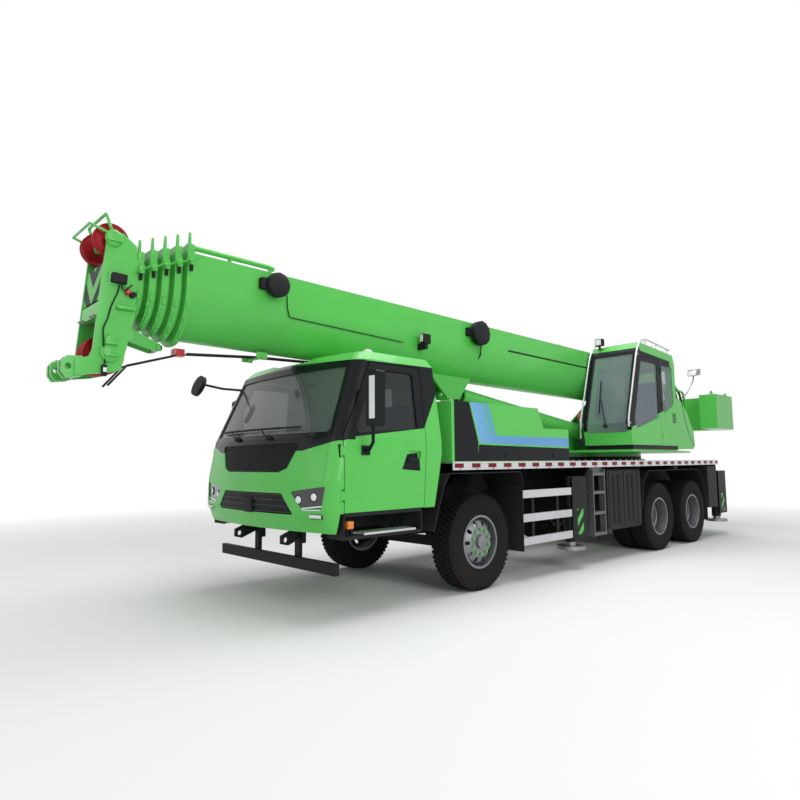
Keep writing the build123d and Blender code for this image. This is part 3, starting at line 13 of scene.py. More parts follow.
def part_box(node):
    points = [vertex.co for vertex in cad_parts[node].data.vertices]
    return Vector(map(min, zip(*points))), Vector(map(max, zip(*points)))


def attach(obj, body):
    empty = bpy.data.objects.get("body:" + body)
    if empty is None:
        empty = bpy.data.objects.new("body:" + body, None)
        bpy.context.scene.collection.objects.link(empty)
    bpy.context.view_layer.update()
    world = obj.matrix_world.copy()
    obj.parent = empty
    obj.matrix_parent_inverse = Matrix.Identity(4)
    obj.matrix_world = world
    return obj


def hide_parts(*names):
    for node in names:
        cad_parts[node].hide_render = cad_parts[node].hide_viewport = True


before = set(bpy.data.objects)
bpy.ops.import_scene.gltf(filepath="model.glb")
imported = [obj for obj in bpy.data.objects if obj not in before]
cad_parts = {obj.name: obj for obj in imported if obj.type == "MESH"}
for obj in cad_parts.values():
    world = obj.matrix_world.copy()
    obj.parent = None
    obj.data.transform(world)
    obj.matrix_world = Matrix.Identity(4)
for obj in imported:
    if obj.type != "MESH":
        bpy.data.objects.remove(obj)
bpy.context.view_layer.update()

LOG = logging.getLogger("crane")
Point = Sequence[float]
Pair = tuple[float, float]
Colour = tuple[float, float, float]
Place = Callable[[float, float, float], Vector]
SIDES = {"left": 1, "right": -1}
EDGE, EDGE_STEPS, EDGE_PROFILE = 0.003, 2, 0.7
SHARP_DEGREES = 35

# The CAD model is drawn from the front axle, so lengths below are given from there.
AXLE_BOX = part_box("tyre_front_left")
FRONT_AXLE_X = (AXLE_BOX[0].x + AXLE_BOX[1].x) / 2
TYRE_RADIUS = (AXLE_BOX[1].z - AXLE_BOX[0].z) / 2
PIVOT_X, PIVOT_Z = -6.4, 2.95
BOOM_SLOPE = math.radians(0.74)


def at(x: float, y: float, z: float) -> Vector:
    """Point given from the front axle, the centre plane and the ground."""
    return Vector((x + FRONT_AXLE_X, y, z))


def on_boom(x: float, y: float, z: float) -> Vector:
    """Point of the level boom turned up to its stowed slope about the foot pin."""
    dx, dz = x - PIVOT_X, z - PIVOT_Z
    return at(PIVOT_X + dx * math.cos(BOOM_SLOPE) - dz * math.sin(BOOM_SLOPE), y,
              PIVOT_Z + dx * math.sin(BOOM_SLOPE) + dz * math.cos(BOOM_SLOPE))


def math_method(name: str, swapped: bool = False) -> Callable[..., "Term"]:
    """Makes a method of Term from an operation of the Math node.

    Args:
        name: The operation.
        swapped: Whether the term comes after the other value.

    Returns:
        The method.
    """
    def method(term: "Term", *others: "Amount") -> "Term":
        """Result of the operation, as a term."""
        return term.shader.math(name, *((*others, term) if swapped else (term, *others)))
    return method


class Term:
    """A shader socket that takes part in Python expressions; a comparison gives a mask of 0 or 1."""

    def __init__(self, shader: "Shader", socket: bpy.types.NodeSocket) -> None:
        """Keeps the shader that the socket belongs to."""
        self.shader = shader
        self.socket = socket

    __add__, __radd__ = math_method("ADD"), math_method("ADD", True)
    __sub__, __rsub__ = math_method("SUBTRACT"), math_method("SUBTRACT", True)
    __mul__, __rmul__ = math_method("MULTIPLY"), math_method("MULTIPLY", True)
    __truediv__, __rtruediv__ = math_method("DIVIDE"), math_method("DIVIDE", True)
    __gt__, __lt__ = math_method("GREATER_THAN"), math_method("LESS_THAN")
    either, least = math_method("MAXIMUM"), math_method("MINIMUM")
    size, part = math_method("ABSOLUTE"), math_method("FRACT")
    sine, root = math_method("SINE"), math_method("SQRT")


Amount = Union[Term, float, int]
Mask = Callable[["Shader"], Term]


MIX_FACTOR, MIX_FIRST, MIX_SECOND, MIX_COLOUR = 0, 6, 7, 2


class Shader:
    """One material's node tree, with the object's own coordinates at hand."""

    def __init__(self, name: str) -> None:
        """Starts an empty tree.

        Args:
            name: The material's name.
        """
        self.material = bpy.data.materials.new(name)
        self.material.use_nodes = True
        self.tree = self.material.node_tree
        self.tree.nodes.clear()
        self.place = self.node("ShaderNodeTexCoord", output="Object")
        self.x, self.y, self.z = [self.node("ShaderNodeSeparateXYZ", values={0: self.place}, output=i)
                                  for i in range(3)]
        self.x = self.x - FRONT_AXLE_X

    def node(self, kind: str, settings: Optional[dict] = None, values: Optional[dict] = None,
             output: Union[int, str] = 0) -> Term:
        """Makes any node.

        Args:
            kind: The node's type.
            settings: Properties that are set before its sockets.
            values: Socket name or number to a value, colour or term.
            output: Name or number of the socket to hand back.

        Returns:
            The chosen output as a term.
        """
        made = self.tree.nodes.new(kind)
        for key, value in (settings or {}).items():
            setattr(made, key, value)
        for key, value in (values or {}).items():
            if isinstance(value, Term):
                self.tree.links.new(value.socket, made.inputs[key])
            else:
                made.inputs[key].default_value = value
        return Term(self, made.outputs[output])

    def math(self, operation: str, *values: Amount) -> Term:
        """Makes a Math node.

        Args:
            operation: The node's operation.
            values: Its one or two inputs.

        Returns:
            The result.
        """
        return self.node("ShaderNodeMath", {"operation": operation}, dict(enumerate(values)))

    def blend(self, factor: Amount, first: object, second: object, way: str = "MIX") -> Term:
        """Mixes two colours.

        Args:
            factor: Share of the second colour.
            first: Colour or term.
            second: Colour or term.
            way: The blend type.

        Returns:
            The mixed colour.
        """
        return self.node("ShaderNodeMix", {"data_type": "RGBA", "blend_type": way}, {
            MIX_FACTOR: factor, MIX_FIRST: first, MIX_SECOND: second}, MIX_COLOUR)

    def noise(self, scale: float, detail: float = 3.0) -> Term:
        """Cloudy noise from 0 to 1 on the object's coordinates."""
        values = {"Vector": self.place, "Scale": scale, "Detail": detail}
        return self.node("ShaderNodeTexNoise", values=values)

    def close(self, surface: Term) -> None:
        """Links the surface to the material's output."""
        out = self.tree.nodes.new("ShaderNodeOutputMaterial")
        self.tree.links.new(surface.socket, out.inputs["Surface"])


def within(value: Term, low: float, high: float) -> Term:
    """Mask that is 1 between two values."""
    return (value > low) * (value < high)


def inside(u: Term, v: Term, corners: Sequence[Pair]) -> Term:
    """Mask of a convex outline whose corners run anticlockwise in u and v."""
    mask: Optional[Term] = None
    for (u0, v0), (u1, v1) in zip(corners, list(corners[1:]) + [corners[0]]):
        side = (v - v0) * (u1 - u0) - (u - u0) * (v1 - v0) > 0
        mask = side if mask is None else mask * side
    return mask


DUST_TOP = 1.1
DUST_COLOUR = (0.10, 0.093, 0.082, 1.0)
DUST_ROUGHNESS = 0.6
CLOUD_SHARE, FINE_SHARE = 0.7, 0.3
CLOUD_ROUGHNESS = 0.10
COAT_ROUGHNESS = 0.08
BUMP_STRENGTH = 0.7


@dataclass(frozen=True)
class Tone:
    """Colour, gloss, metal share and clear coat of one look."""

    colour: Colour
    roughness: float
    metallic: float = 0.0
    coat: float = 0.0


@dataclass(frozen=True)
class Finish:
    """A whole material: a base tone, masked tones over it and the small unevenness of the real surface."""

    name: str
    base: Tone
    layers: tuple[tuple[Mask, Tone], ...] = ()
    mottle: float = 0.08
    mottle_scale: float = 2.5
    grain: float = 0.02
    grain_scale: float = 60.0
    dust: float = 0.0
    coat: float = 0.0
    alpha: float = 1.0
    specular: float = 0.18
    relief: Optional[Mask] = None
    relief_height: float = 0.002

    def build(self) -> bpy.types.Material:
        """Makes the material.

        Returns:
            The finished material.
        """
        shader = Shader(self.name)
        colour: object = (*self.base.colour, 1.0)
        roughness: Amount = self.base.roughness
        metallic: Amount = self.base.metallic
        coat: Amount = self.coat
        for mask_of, tone in self.layers:
            mask = mask_of(shader)
            colour = shader.blend(mask, colour, (*tone.colour, 1.0))
            roughness = (1 - mask) * roughness + mask * tone.roughness
            if tone.metallic != self.base.metallic:
                metallic = (1 - mask) * metallic + mask * tone.metallic
            if tone.coat != self.coat:
                coat = (1 - mask) * coat + mask * tone.coat
        cloud = shader.noise(self.mottle_scale)
        fine = shader.noise(self.grain_scale, 2.0)
        shade = 1 - (cloud * CLOUD_SHARE + fine * FINE_SHARE) * (2 * self.mottle) + self.mottle
        tint = shader.node("ShaderNodeCombineColor", values={0: shade, 1: shade, 2: shade})
        colour = shader.blend(1.0, colour, tint, "MULTIPLY")
        if self.dust:
            low = (1 - shader.z / DUST_TOP).either(0.0)
            amount = low * cloud * self.dust
            colour = shader.blend(amount, colour, DUST_COLOUR)
            roughness = roughness + amount * DUST_ROUGHNESS
        roughness = (cloud - 0.5) * CLOUD_ROUGHNESS + roughness
        height = fine * self.grain
        if self.relief:
            height = height + self.relief(shader)
        bump = shader.node("ShaderNodeBump", values={
            "Strength": BUMP_STRENGTH, "Distance": self.relief_height, "Height": height})
        values = {"Base Color": colour, "Roughness": roughness, "Metallic": metallic, "Normal": bump,
                  "Coat Weight": coat, "Coat Roughness": COAT_ROUGHNESS, "Alpha": self.alpha,
                  "Specular IOR Level": self.specular}
        surface = shader.node("ShaderNodeBsdfPrincipled", values=values)
        shader.close(surface)
        return shader.material


GLOSS = 0.30
LENS_GLOSS = 0.8
SMOOTH = {"mottle": 0.02, "grain": 0.0}
RUBBER = {"mottle": 0.2, "grain": 0.4, "grain_scale": 180.0, "dust": 0.25, "specular": 0.15}
GREEN_TONE = Tone((0.10, 0.53, 0.092), 0.36)
BLACK_TONE = Tone((0.0045, 0.0055, 0.0075), 0.50)
PLASTIC_TONE = Tone((0.012, 0.0125, 0.014), 0.66)
SILVER_TONE = Tone((0.24, 0.25, 0.26), 0.42, 0.85)
ALUMINIUM_TONE = Tone((0.60, 0.61, 0.63), 0.38, 0.8)
RED_TONE = Tone((0.36, 0.008, 0.015), 0.42)
MARKER_TONE = Tone((0.16, 0.006, 0.012), 0.45)
SCREEN_TONE = Tone((0.005, 0.006, 0.008), 0.25)
LADDER_TONE = Tone((0.16, 0.165, 0.17), 0.45, 0.6)
NAVY_TONE = Tone((0.010, 0.026, 0.11), 0.85)
STEEL_TONE = Tone((0.30, 0.30, 0.31), 0.42, 0.9)
LIGHT_BLUE_TONE = Tone((0.20, 0.50, 0.74), 0.35, coat=0.2)
RUBBER_TONE = Tone((0.007, 0.007, 0.0075), 0.85)
DEEP_BLUE_TONE = Tone((0.06, 0.20, 0.52), 0.35, coat=0.2)


SKIN_Y = 1.25
REEL_Y = 0.372
STRIPE_UPRIGHT = ((-0.209, 1.747), (0.088, 1.661), (0.25, 2.142), (-0.072, 2.116))
STRIPE_LEVEL = ((-1.80, 1.636), (0.088, 1.661), (-0.10, 1.7505), (-1.80, 1.758))
STRIPE_SLOPE = 0.337
STRIPE_GAP = (0.222, 0.247)
COVER_FRONT = ((0.125, 1.455), (0.525, 1.455), (0.525, 2.145), (0.277, 2.150), (0.115, 1.670))
COVER_LOW = ((-1.80, 1.455), (0.13, 1.455), (0.108, 1.643), (-1.80, 1.618))
CAB_SIDE = ((0.968, 1.800), (2.095, 1.672), (2.30, 1.69), (1.76, 2.452), (0.706, 2.470), (0.738, 2.169))
HANDLE_RECESS = ((1.05, 1.36), (1.305, 1.38), (1.235, 1.53), (1.06, 1.545))
OPERATOR_SIDE = ((-5.245, 2.36), (-3.70, 1.96), (-3.60, 2.05), (-4.06, 3.26), (-5.30, 3.19), (-5.385, 2.763))
REAR_AXLES = (-4.5, -5.85)
FITTING_Y = 1.262
MARKER_PITCH = 0.29
NUT_RING, NUT_FACE_Y, HUB_RADIUS = (0.126, 0.158), 1.1690, 0.205
SIDEWALL_RINGS = ((0.345, 0.352), (0.452, 0.462), (0.318, 0.323))
LAMP_BOWLS = ((0.80, 1.105), (1.00, 1.135))
BOWL_RADIUS_SQUARED = 0.0021
BOOM_RISE = 0.0129


def front_band(s: Shader) -> Term:
    """Black band between the windscreen and the mesh panel, rising towards the corners."""
    rise = (s.y.size() - 0.80).either(0.0) * 0.22
    return (s.x > 1.90) * (s.z - rise > 1.566)


def cab_black(s: Shader) -> Term:
    """Window surrounds of the driver's cab: the front above the panel and the side windows' frames."""
    roof_line = 2.455 + (SKIN_Y - s.y.size()) * 0.045
    front = (s.x > 1.70 - (s.z - 2.4) * 0.42) * (s.z > 1.655) * (s.z < roof_line)
    return (inside(s.x, s.z, CAB_SIDE) * (s.y.size() > 1.02)).either(front).either(front_band(s))


def door_black(s: Shader) -> Term:
    """Window frame, mirror and its arm outside the skin, and the recess of the door handle."""
    fittings = (s.y.size() > FITTING_Y).either(inside(s.x, s.z, HANDLE_RECESS) * (s.y.size() > 1.20))
    return cab_black(s).either(fittings)


def guard_posts(s: Shader) -> Term:
    """Posts behind the side guards."""
    return (s.x > -2.0) * (s.y.size() < 1.2056)


def ladder_frame(s: Shader) -> Term:
    """Ladders up to the deck."""
    return s.x < -2.0


def operator_black(s: Shader) -> Term:
    """Window surrounds, skirt and rear cover's line of the operator's cab."""
    side = inside(s.x, s.z, OPERATOR_SIDE) * (s.y > 1.13)
    front = (s.x + (s.z - 2.05) * 0.30 > -3.80) * (s.z > 1.93) * (s.z < 3.30)
    skirt = (s.z < 1.70) * (s.x > -5.49)
    rise = s.z - 1.79
    line = within(s.x + rise * rise * 0.55 + 6.150 - rise * 0.90, -0.012, 0.012)
    return side.either(front).either(skirt).either(line * (s.x < -5.6))


def outrigger_bars(s: Shader) -> Term:
    """Green diagonal bars on the outriggers' end boards."""
    near = ((s.x + 2.075).size() < 0.075).either((s.x + 7.405).size() < 0.075)
    bars = ((s.x + s.y + s.z) / 0.20).part() < 0.5
    return near * within(s.z, 0.46, 0.80) * (s.y.size() > 1.222) * bars


def marker_red(s: Shader) -> Term:
    """Red blocks of the marker rail."""
    return (((s.x - 0.251) / MARKER_PITCH).part() > 0.483) * within(s.z, 1.384, 1.432) * (s.y.size() > 1.2745)


def deck_under(s: Shader) -> Term:
    """Ribs and underside of the deck."""
    return (s.z < 1.432) * (s.y.size() < FITTING_Y)


def chequer(s: Shader) -> Term:
    """Raised bars of chequer plate."""
    return (((s.x + s.y) * 70.0).sine() * ((s.x - s.y) * 23.0).sine() > 0.55) * (s.z > 1.44)


def stripe_offset(s: Shader) -> Term:
    """Distance behind the front edge of the stripe on the engine cover."""
    return 0.088 + (s.z - 1.661) * STRIPE_SLOPE - s.x


def hood_stripe(s: Shader) -> Term:
    """Angled stripe on the engine cover's sides."""
    both = inside(s.x, s.z, STRIPE_UPRIGHT).either(inside(s.x, s.z, STRIPE_LEVEL))
    gap = within(stripe_offset(s), *STRIPE_GAP) * (s.z > 1.76)
    return both * (1 - gap) * (s.y.size() > SKIN_Y)


def hood_stripe_deep(s: Shader) -> Term:
    """Deeper blue in a lattice, wider towards the stripe's rear end."""
    lattice = ((s.x * 105 + s.z * 182).sine() * (s.x * 105 - s.z * 182).sine()).size()
    return hood_stripe(s) * (lattice + (stripe_offset(s) * 1.3).least(0.36) > 0.66)


def hood_black(s: Shader) -> Term:
    """Black lower and front panel of the engine cover's sides."""
    return inside(s.x, s.z, COVER_FRONT).either(inside(s.x, s.z, COVER_LOW)) * (s.y.size() > SKIN_Y)


def boom_dark(s: Shader) -> Term:
    """Cable reels and the thin line on the base boom."""
    reel = (s.y > REEL_Y) * (s.x < 2.6) * (s.x > -5.0)
    line = within(s.z - s.x * BOOM_RISE, 3.082, 3.112) * within(s.x, -4.75, -1.75) * (s.y.size() > 0.32)
    return reel.either(line * 0.95)


def boom_seams(s: Shader) -> Term:
    """Weld seams and wrapper edge along the boom's sides."""
    rings = within((s.x / 2.4).part(), 0.49, 0.495)
    return within(s.z - (s.x - PIVOT_X) * BOOM_RISE, 2.955, 2.967).either(rings * (s.x < 3.0) * 0.5)


def wheel_distance(s: Shader, *places: float) -> Term:
    """Distance from the nearest of the wheel axes at these places in X."""
    nearest: Optional[Term] = None
    for x in places:
        dx, dz = s.x - x, s.z - TYRE_RADIUS
        distance = (dx * dx + dz * dz).root()
        nearest = distance if nearest is None else nearest.least(distance)
    return nearest


def front_nuts(s: Shader) -> Term:
    """Capped nuts of a front wheel."""
    return within(wheel_distance(s, 0.0), *NUT_RING) * (s.y.size() > NUT_FACE_Y)


def rear_hub(s: Shader) -> Term:
    """Dark hub and nuts in a rear wheel."""
    return wheel_distance(s, *REAR_AXLES) < HUB_RADIUS


def seat_cloth(s: Shader) -> Term:
    """Seats of the driver's cab."""
    return (s.x < 1.46) * (s.z > 1.328)


def tyre_rings(*places: float) -> Mask:
    """Raised rings on the sidewalls of the wheels at these places in X."""
    def rings(s: Shader) -> Term:
        """Ring relief for the nearest wheel."""
        r = wheel_distance(s, *places)
        inner, outer, bead = [within(r, *ring) for ring in SIDEWALL_RINGS]
        return inner.either(outer).either(bead)
    return rings


def weight_bars(s: Shader) -> Term:
    """Black bars at the counterweight's rear corners."""
    return (s.x < -8.50) * (s.y.size() > 0.9) * (((s.y.size() + s.z) / 0.36).part() < 0.5)


def lamp_bright(s: Shader) -> Term:
    """Bright reflector bowls and light strip inside a headlamp."""
    y = s.y.size()
    mask = within(s.z - y * 0.11, 0.925, 0.937) * (y > 0.8)
    for across, up in LAMP_BOWLS:
        dy, dz = y - across, s.z - up
        mask = (dy * dy + dz * dz < BOWL_RADIUS_SQUARED).either(mask)
    return mask


def rope_turns(s: Shader) -> Term:
    """Turns of rope on the winch drums."""
    return (s.y * 420).sine() * 0.5 * rope_steel(s)


def rope_steel(s: Shader) -> Term:
    """Rope between the drum's cheeks."""
    return s.y.size() < 0.29


def chevrons(s: Shader) -> Term:
    """Black arms of the board on the boom's head."""
    return ((s.z - s.y.size() * 1.1) / 0.30).part() < 0.5


def grille_relief(s: Shader) -> Term:
    """Fine lattice of the mesh panel."""
    return (s.y * 150 + s.z * 150).sine() * (s.y * 150 - s.z * 150).sine() * (s.z > 1.3)


def rope_lay(s: Shader) -> Term:
    """Strands of a wire rope."""
    return (s.x * 260 + s.z * 300).sine() * 0.5


class Paint(Enum):
    """Every finish on the crane."""

    GREEN = Finish("green_gloss", GREEN_TONE, coat=GLOSS)
    CAB = Finish("cab_green_black", GREEN_TONE, ((cab_black, SCREEN_TONE),), coat=GLOSS)
    FRONT = Finish("front_green_black", GREEN_TONE, ((front_band, SCREEN_TONE),), coat=GLOSS)
    DOOR = Finish("door_green_black", GREEN_TONE, ((door_black, BLACK_TONE),), coat=GLOSS)
    OPERATOR = Finish("operator_green_black", GREEN_TONE, ((operator_black, BLACK_TONE),), coat=GLOSS)
    GUARD = Finish("guard_rails", ALUMINIUM_TONE, ((guard_posts, BLACK_TONE), (ladder_frame, LADDER_TONE)),
                   mottle=0.12, grain=0.1, dust=0.25, grain_scale=300.0)
    HOOD = Finish("hood_green_stripe", GREEN_TONE, (
        (hood_black, BLACK_TONE), (hood_stripe, LIGHT_BLUE_TONE),
        (hood_stripe_deep, DEEP_BLUE_TONE)), coat=GLOSS)
    BOOM = Finish("boom_green", GREEN_TONE, ((boom_dark, PLASTIC_TONE),), coat=GLOSS, relief=boom_seams,
                  relief_height=0.004)
    WEIGHT = Finish("weight_green", GREEN_TONE, ((weight_bars, BLACK_TONE),), coat=GLOSS)
    BLACK = Finish("chassis_black", BLACK_TONE, dust=0.3, specular=0.15)
    PLASTIC = Finish("black_plastic", PLASTIC_TONE, grain=0.25, grain_scale=220.0, dust=0.3, specular=0.2)
    TANK = Finish("tank_black", PLASTIC_TONE, grain=0.1, dust=0.35, specular=0.3)
    OUTRIGGER = Finish("outrigger_black", BLACK_TONE, ((outrigger_bars, GREEN_TONE),), dust=0.2, specular=0.2)
    DECK = Finish("deck_plate", ALUMINIUM_TONE, ((deck_under, BLACK_TONE), (marker_red, MARKER_TONE)),
                  mottle=0.12, relief=chequer, relief_height=0.003)
    ALUMINIUM = Finish("bright_aluminium", ALUMINIUM_TONE, mottle=0.12, grain=0.1, grain_scale=300.0)
    TYRE_FRONT = Finish("tyre_front_rubber", RUBBER_TONE, relief=tyre_rings(0.0), **RUBBER)
    TYRE_REAR = Finish("tyre_rear_rubber", RUBBER_TONE, relief=tyre_rings(*REAR_AXLES), **RUBBER)
    RIM_FRONT = Finish("rim_front_silver", SILVER_TONE, ((front_nuts, GREEN_TONE),), mottle=0.1, dust=0.2)
    RIM_REAR = Finish("rim_rear_silver", SILVER_TONE, ((rear_hub, Tone((0.06, 0.06, 0.065), 0.5, 0.3)),),
                      mottle=0.1, dust=0.2)
    RED = Finish("sheave_red", RED_TONE, mottle=0.1)
    CHROME = Finish("rod_chrome", Tone((0.72, 0.73, 0.75), 0.10, 1.0), mottle=0.03, grain=0.0)
    STEEL = Finish("turned_steel", STEEL_TONE, grain=0.15, grain_scale=200.0)
    IRON = Finish("cast_iron", Tone((0.05, 0.05, 0.052), 0.7), grain=0.5, grain_scale=120.0, dust=0.5)
    TRIM = Finish("cab_trim", Tone((0.035, 0.036, 0.04), 0.7), ((seat_cloth, NAVY_TONE),), grain=0.3,
                  grain_scale=260.0)
    CLOTH = Finish("seat_cloth", NAVY_TONE, grain=0.5, grain_scale=320.0)
    GLASS = Finish("tinted_glass", Tone((0.020, 0.026, 0.030), 0.04), alpha=0.50, specular=0.5, **SMOOTH)
    # Operator's cab glass: a faint tint lightened to pale grey-blue, which is a painted reflection of the sky
    # on a see-through sheet.
    CLEAR = Finish("glass_painted_sky_reflection", Tone((0.30, 0.37, 0.40), 0.04), alpha=0.30, specular=0.5, **SMOOTH)
    SCREEN = Finish("windscreen_glass", Tone((0.130, 0.150, 0.150), 0.05), alpha=0.55, specular=0.6, **SMOOTH)
    LAMP = Finish("lamp_dark_clear", Tone((0.020, 0.022, 0.025), 0.10),
                  ((lamp_bright, Tone((0.85, 0.88, 0.92), 0.12, 0.3)),), coat=1.0, **SMOOTH)
    LENS = Finish("lens_white", Tone((0.80, 0.82, 0.85), 0.15), mottle=0.05, grain=0.0, coat=LENS_GLOSS)
    AMBER = Finish("lens_amber", Tone((0.75, 0.22, 0.02), 0.2), mottle=0.05, coat=LENS_GLOSS)
    REDLENS = Finish("lens_red", Tone((0.5, 0.01, 0.01), 0.2), mottle=0.05, coat=LENS_GLOSS)
    MIRROR = Finish("mirror_face", Tone((0.80, 0.82, 0.84), 0.04, 1.0), mottle=0.01, grain=0.0)
    WINCH = Finish("winch_green_rope", GREEN_TONE, ((rope_steel, Tone((0.16, 0.155, 0.15), 0.5, 0.7)),),
                   relief=rope_turns, relief_height=0.006)
    CHEVRON = Finish("chevron_board", GREEN_TONE, ((chevrons, BLACK_TONE),))
    BARS = Finish("grille_bars", Tone((0.035, 0.036, 0.038), 0.45), grain=0.1)
    GRILLE = Finish("grille_black", Tone((0.006, 0.0065, 0.007), 0.5), grain=0.1, specular=0.15,
                    relief=grille_relief, relief_height=0.006)
    ROPE = Finish("wire_rope", Tone((0.030, 0.030, 0.032), 0.55, 0.4), relief=rope_lay, relief_height=0.002)


class Palette:
    """Makes each finish once and hands it out."""

    made: dict[Paint, bpy.types.Material] = {}

    @classmethod
    def get(cls, paint: Paint) -> bpy.types.Material:
        """Material of a finish.

        Args:
            paint: The finish.

        Returns:
            Its material, built when first asked for.
        """
        if paint not in cls.made:
            cls.made[paint] = paint.value.build()
        return cls.made[paint]


class Shape:
    """Collects closed mesh forms for one piece, each form with a finish."""

    def __init__(self, *paints: Paint, place: Place = at) -> None:
        """Starts an empty shape.

        Args:
            paints: The finishes, in the order of the material slots.
            place: Turns the numbers of a point into a place in the scene.
        """
        self.mesh = bmesh.new()
        self.paints = paints
        self.place = place
        self.slot = 0

    def use(self, slot: int, place: Optional[Place] = None) -> "Shape":
        """Next forms take this material slot, and this way of placing points if one is given."""
        self.slot = slot
        self.place = place or self.place
        return self

    def spot(self, point: Point) -> Vector:
        """Place of a point in the scene; a vector is there already."""
        return point if isinstance(point, Vector) else self.place(*point)

    def _faces(self, faces: Iterable[bmesh.types.BMFace], smooth: bool) -> None:
        """Marks new faces with the slot in use and their shading."""
        for face in faces:
            face.material_index = self.slot
            face.smooth = smooth

    def _bridge(self, rings: Sequence[Sequence[bmesh.types.BMVert]], steps: int) -> list[bmesh.types.BMFace]:
        """Faces between rings of points; a ring of one point is a tip."""
        faces = []
        for ring, after in zip(rings, rings[1:]):
            for k in range(steps):
                j = (k + 1) % steps
                corners = list(dict.fromkeys((ring[k % len(ring)], ring[j % len(ring)],
                                              after[j % len(after)], after[k % len(after)])))
                if len(corners) > 2:
                    faces.append(self.mesh.faces.new(corners))
        return faces

    def hull(self, lower: Sequence[Point], upper: Sequence[Point], bevel: float) -> "Shape":
        """Closed form between two rings of the same number of points, with its edges broken."""
        rings = [[self.mesh.verts.new(p) for p in ring] for ring in (lower, upper)]
        faces = [self.mesh.faces.new(rings[0][::-1]), self.mesh.faces.new(rings[1])]
        faces += self._bridge(rings, len(lower))
        self._faces(faces, False)
        edges = list(dict.fromkeys(edge for face in faces for edge in face.edges))
        made = bmesh.ops.bevel(self.mesh, geom=edges, offset=bevel, affect="EDGES", segments=EDGE_STEPS,
                               profile=EDGE_PROFILE)
        self._faces(made["faces"], False)
        return self

    def box(self, first: Point, last: Point, bevel: float = EDGE) -> "Shape":
        """Block between two opposite corners."""
        (x0, x1), (y0, y1), (z0, z1) = [sorted(pair) for pair in zip(self.spot(first), self.spot(last))]
        ring = ((x0, y0), (x1, y0), (x1, y1), (x0, y1))
        return self.hull([(x, y, z0) for x, y in ring], [(x, y, z1) for x, y in ring], bevel)

    def slab(self, outline: Sequence[Pair], first: float, last: float, bevel: float = EDGE) -> "Shape":
        """Outline in X and Z between two values of Y."""
        lower, upper = [[self.place(x, y, z) for x, z in outline] for y in sorted((first, last))]
        return self.hull(lower, upper, bevel)

    def plate(self, x: Pair, z: Pair, first: float, last: float, bevel: float = EDGE) -> "Shape":
        """Slab whose outline is upright and square."""
        return self.slab(((x[0], z[0]), (x[1], z[0]), (x[1], z[1]), (x[0], z[1])), first, last, bevel)

    def tube(self, points: Sequence[Point], radius: float, sides: int = 10, bend: float = 0.0) -> "Shape":
        """Round bar along a path.

        Args:
            points: Corners of the path.
            radius: The bar's radius.
            sides: Faces round the bar.
            bend: How far each corner is rounded.

        Returns:
            The shape itself.
        """
        path = [self.spot(p) for p in points]
        if bend:
            path = self._rounded(path, bend)
        rings: list[list[bmesh.types.BMVert]] = []
        normal: Optional[Vector] = None
        for i, here in enumerate(path):
            ahead = (path[min(i + 1, len(path) - 1)] - path[max(i - 1, 0)]).normalized()
            normal = normal or ahead.orthogonal().normalized()
            normal = (normal - ahead * normal.dot(ahead)).normalized()
            across = ahead.cross(normal)
            rings.append([self.mesh.verts.new(here + (normal * math.cos(a) + across * math.sin(a)) * radius)
                          for a in (2 * math.pi * k / sides for k in range(sides))])
        self._faces(self._bridge(rings, sides), True)
        self._faces([self.mesh.faces.new(rings[0][::-1]), self.mesh.faces.new(rings[-1])], False)
        return self

    @staticmethod
    def _rounded(path: list[Vector], bend: float) -> list[Vector]:
        """Path with its corners rounded by short curves."""
        out = [path[0]]
        for before, here, after in zip(path, path[1:], path[2:]):
            start = here + (before - here).normalized() * min(bend, (before - here).length * 0.45)
            end = here + (after - here).normalized() * min(bend, (after - here).length * 0.45)
            out += [start.lerp(here, t).lerp(here.lerp(end, t), t) for t in (0.0, 0.25, 0.5, 0.75, 1.0)]
        return out + [path[-1]]

    def lathe(self, profile: Sequence[Pair], centre: Point, axis: Point, steps: int = 32,
              smooth: bool = True) -> "Shape":
        """Turned form.

        Args:
            profile: Radius and height pairs from one end to the other; a radius of 0 closes an end.
            centre: Where height is 0.
            axis: Direction of growing height.
            steps: Faces round the form.
            smooth: Whether it shades smooth.

        Returns:
            The shape itself.
        """
        turn = Vector(axis).normalized().to_track_quat("Z", "Y").to_matrix()
        rings = []
        for radius, height in profile:
            angles = [2 * math.pi * k / steps for k in range(steps)] if radius > 0 else [0.0]
            rings.append([self.mesh.verts.new(self.spot(centre) + turn @ Vector(
                (radius * math.cos(a), radius * math.sin(a), height))) for a in angles])
        self._faces(self._bridge(rings, steps), smooth)
        return self

    def make(self, name: str, body: str, slot: str, replaced: Sequence[str] = ()) -> bpy.types.Object:
        """Turns the forms into a piece of the scene.

        Args:
            name: The piece's name.
            body: The CAD body that it rides on.
            slot: The record's material slot; not used.
            replaced: CAD nodes that it stands for.

        Returns:
            The new object.
        """
        bmesh.ops.recalc_face_normals(self.mesh, faces=self.mesh.faces[:])
        data = bpy.data.meshes.new(name)
        self.mesh.to_mesh(data)
        self.mesh.free()
        data.set_sharp_from_angle(angle=math.radians(SHARP_DEGREES))
        return join_scene(name, data, body, self.paints, replaced)


def join_scene(name: str, data: bpy.types.Mesh, body: str, paints: Sequence[Paint] = (),
               replaced: Sequence[str] = ()) -> bpy.types.Object:
    """Links a mesh to the scene and to the frame.

    Args:
        name: The piece's name.
        data: Its mesh.
        body: The CAD body that it rides on.
        paints: Finishes for its material slots.
        replaced: CAD nodes that it stands for.

    Returns:
        The new object.
    """
    piece = bpy.data.objects.new(name, data)
    bpy.context.scene.collection.objects.link(piece)
    for paint in paints:
        data.materials.append(Palette.get(paint))
    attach(piece, body)
    if replaced:
        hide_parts(*replaced)
    LOG.info("%s: %d faces on %s", name, len(data.polygons), body)
    return piece


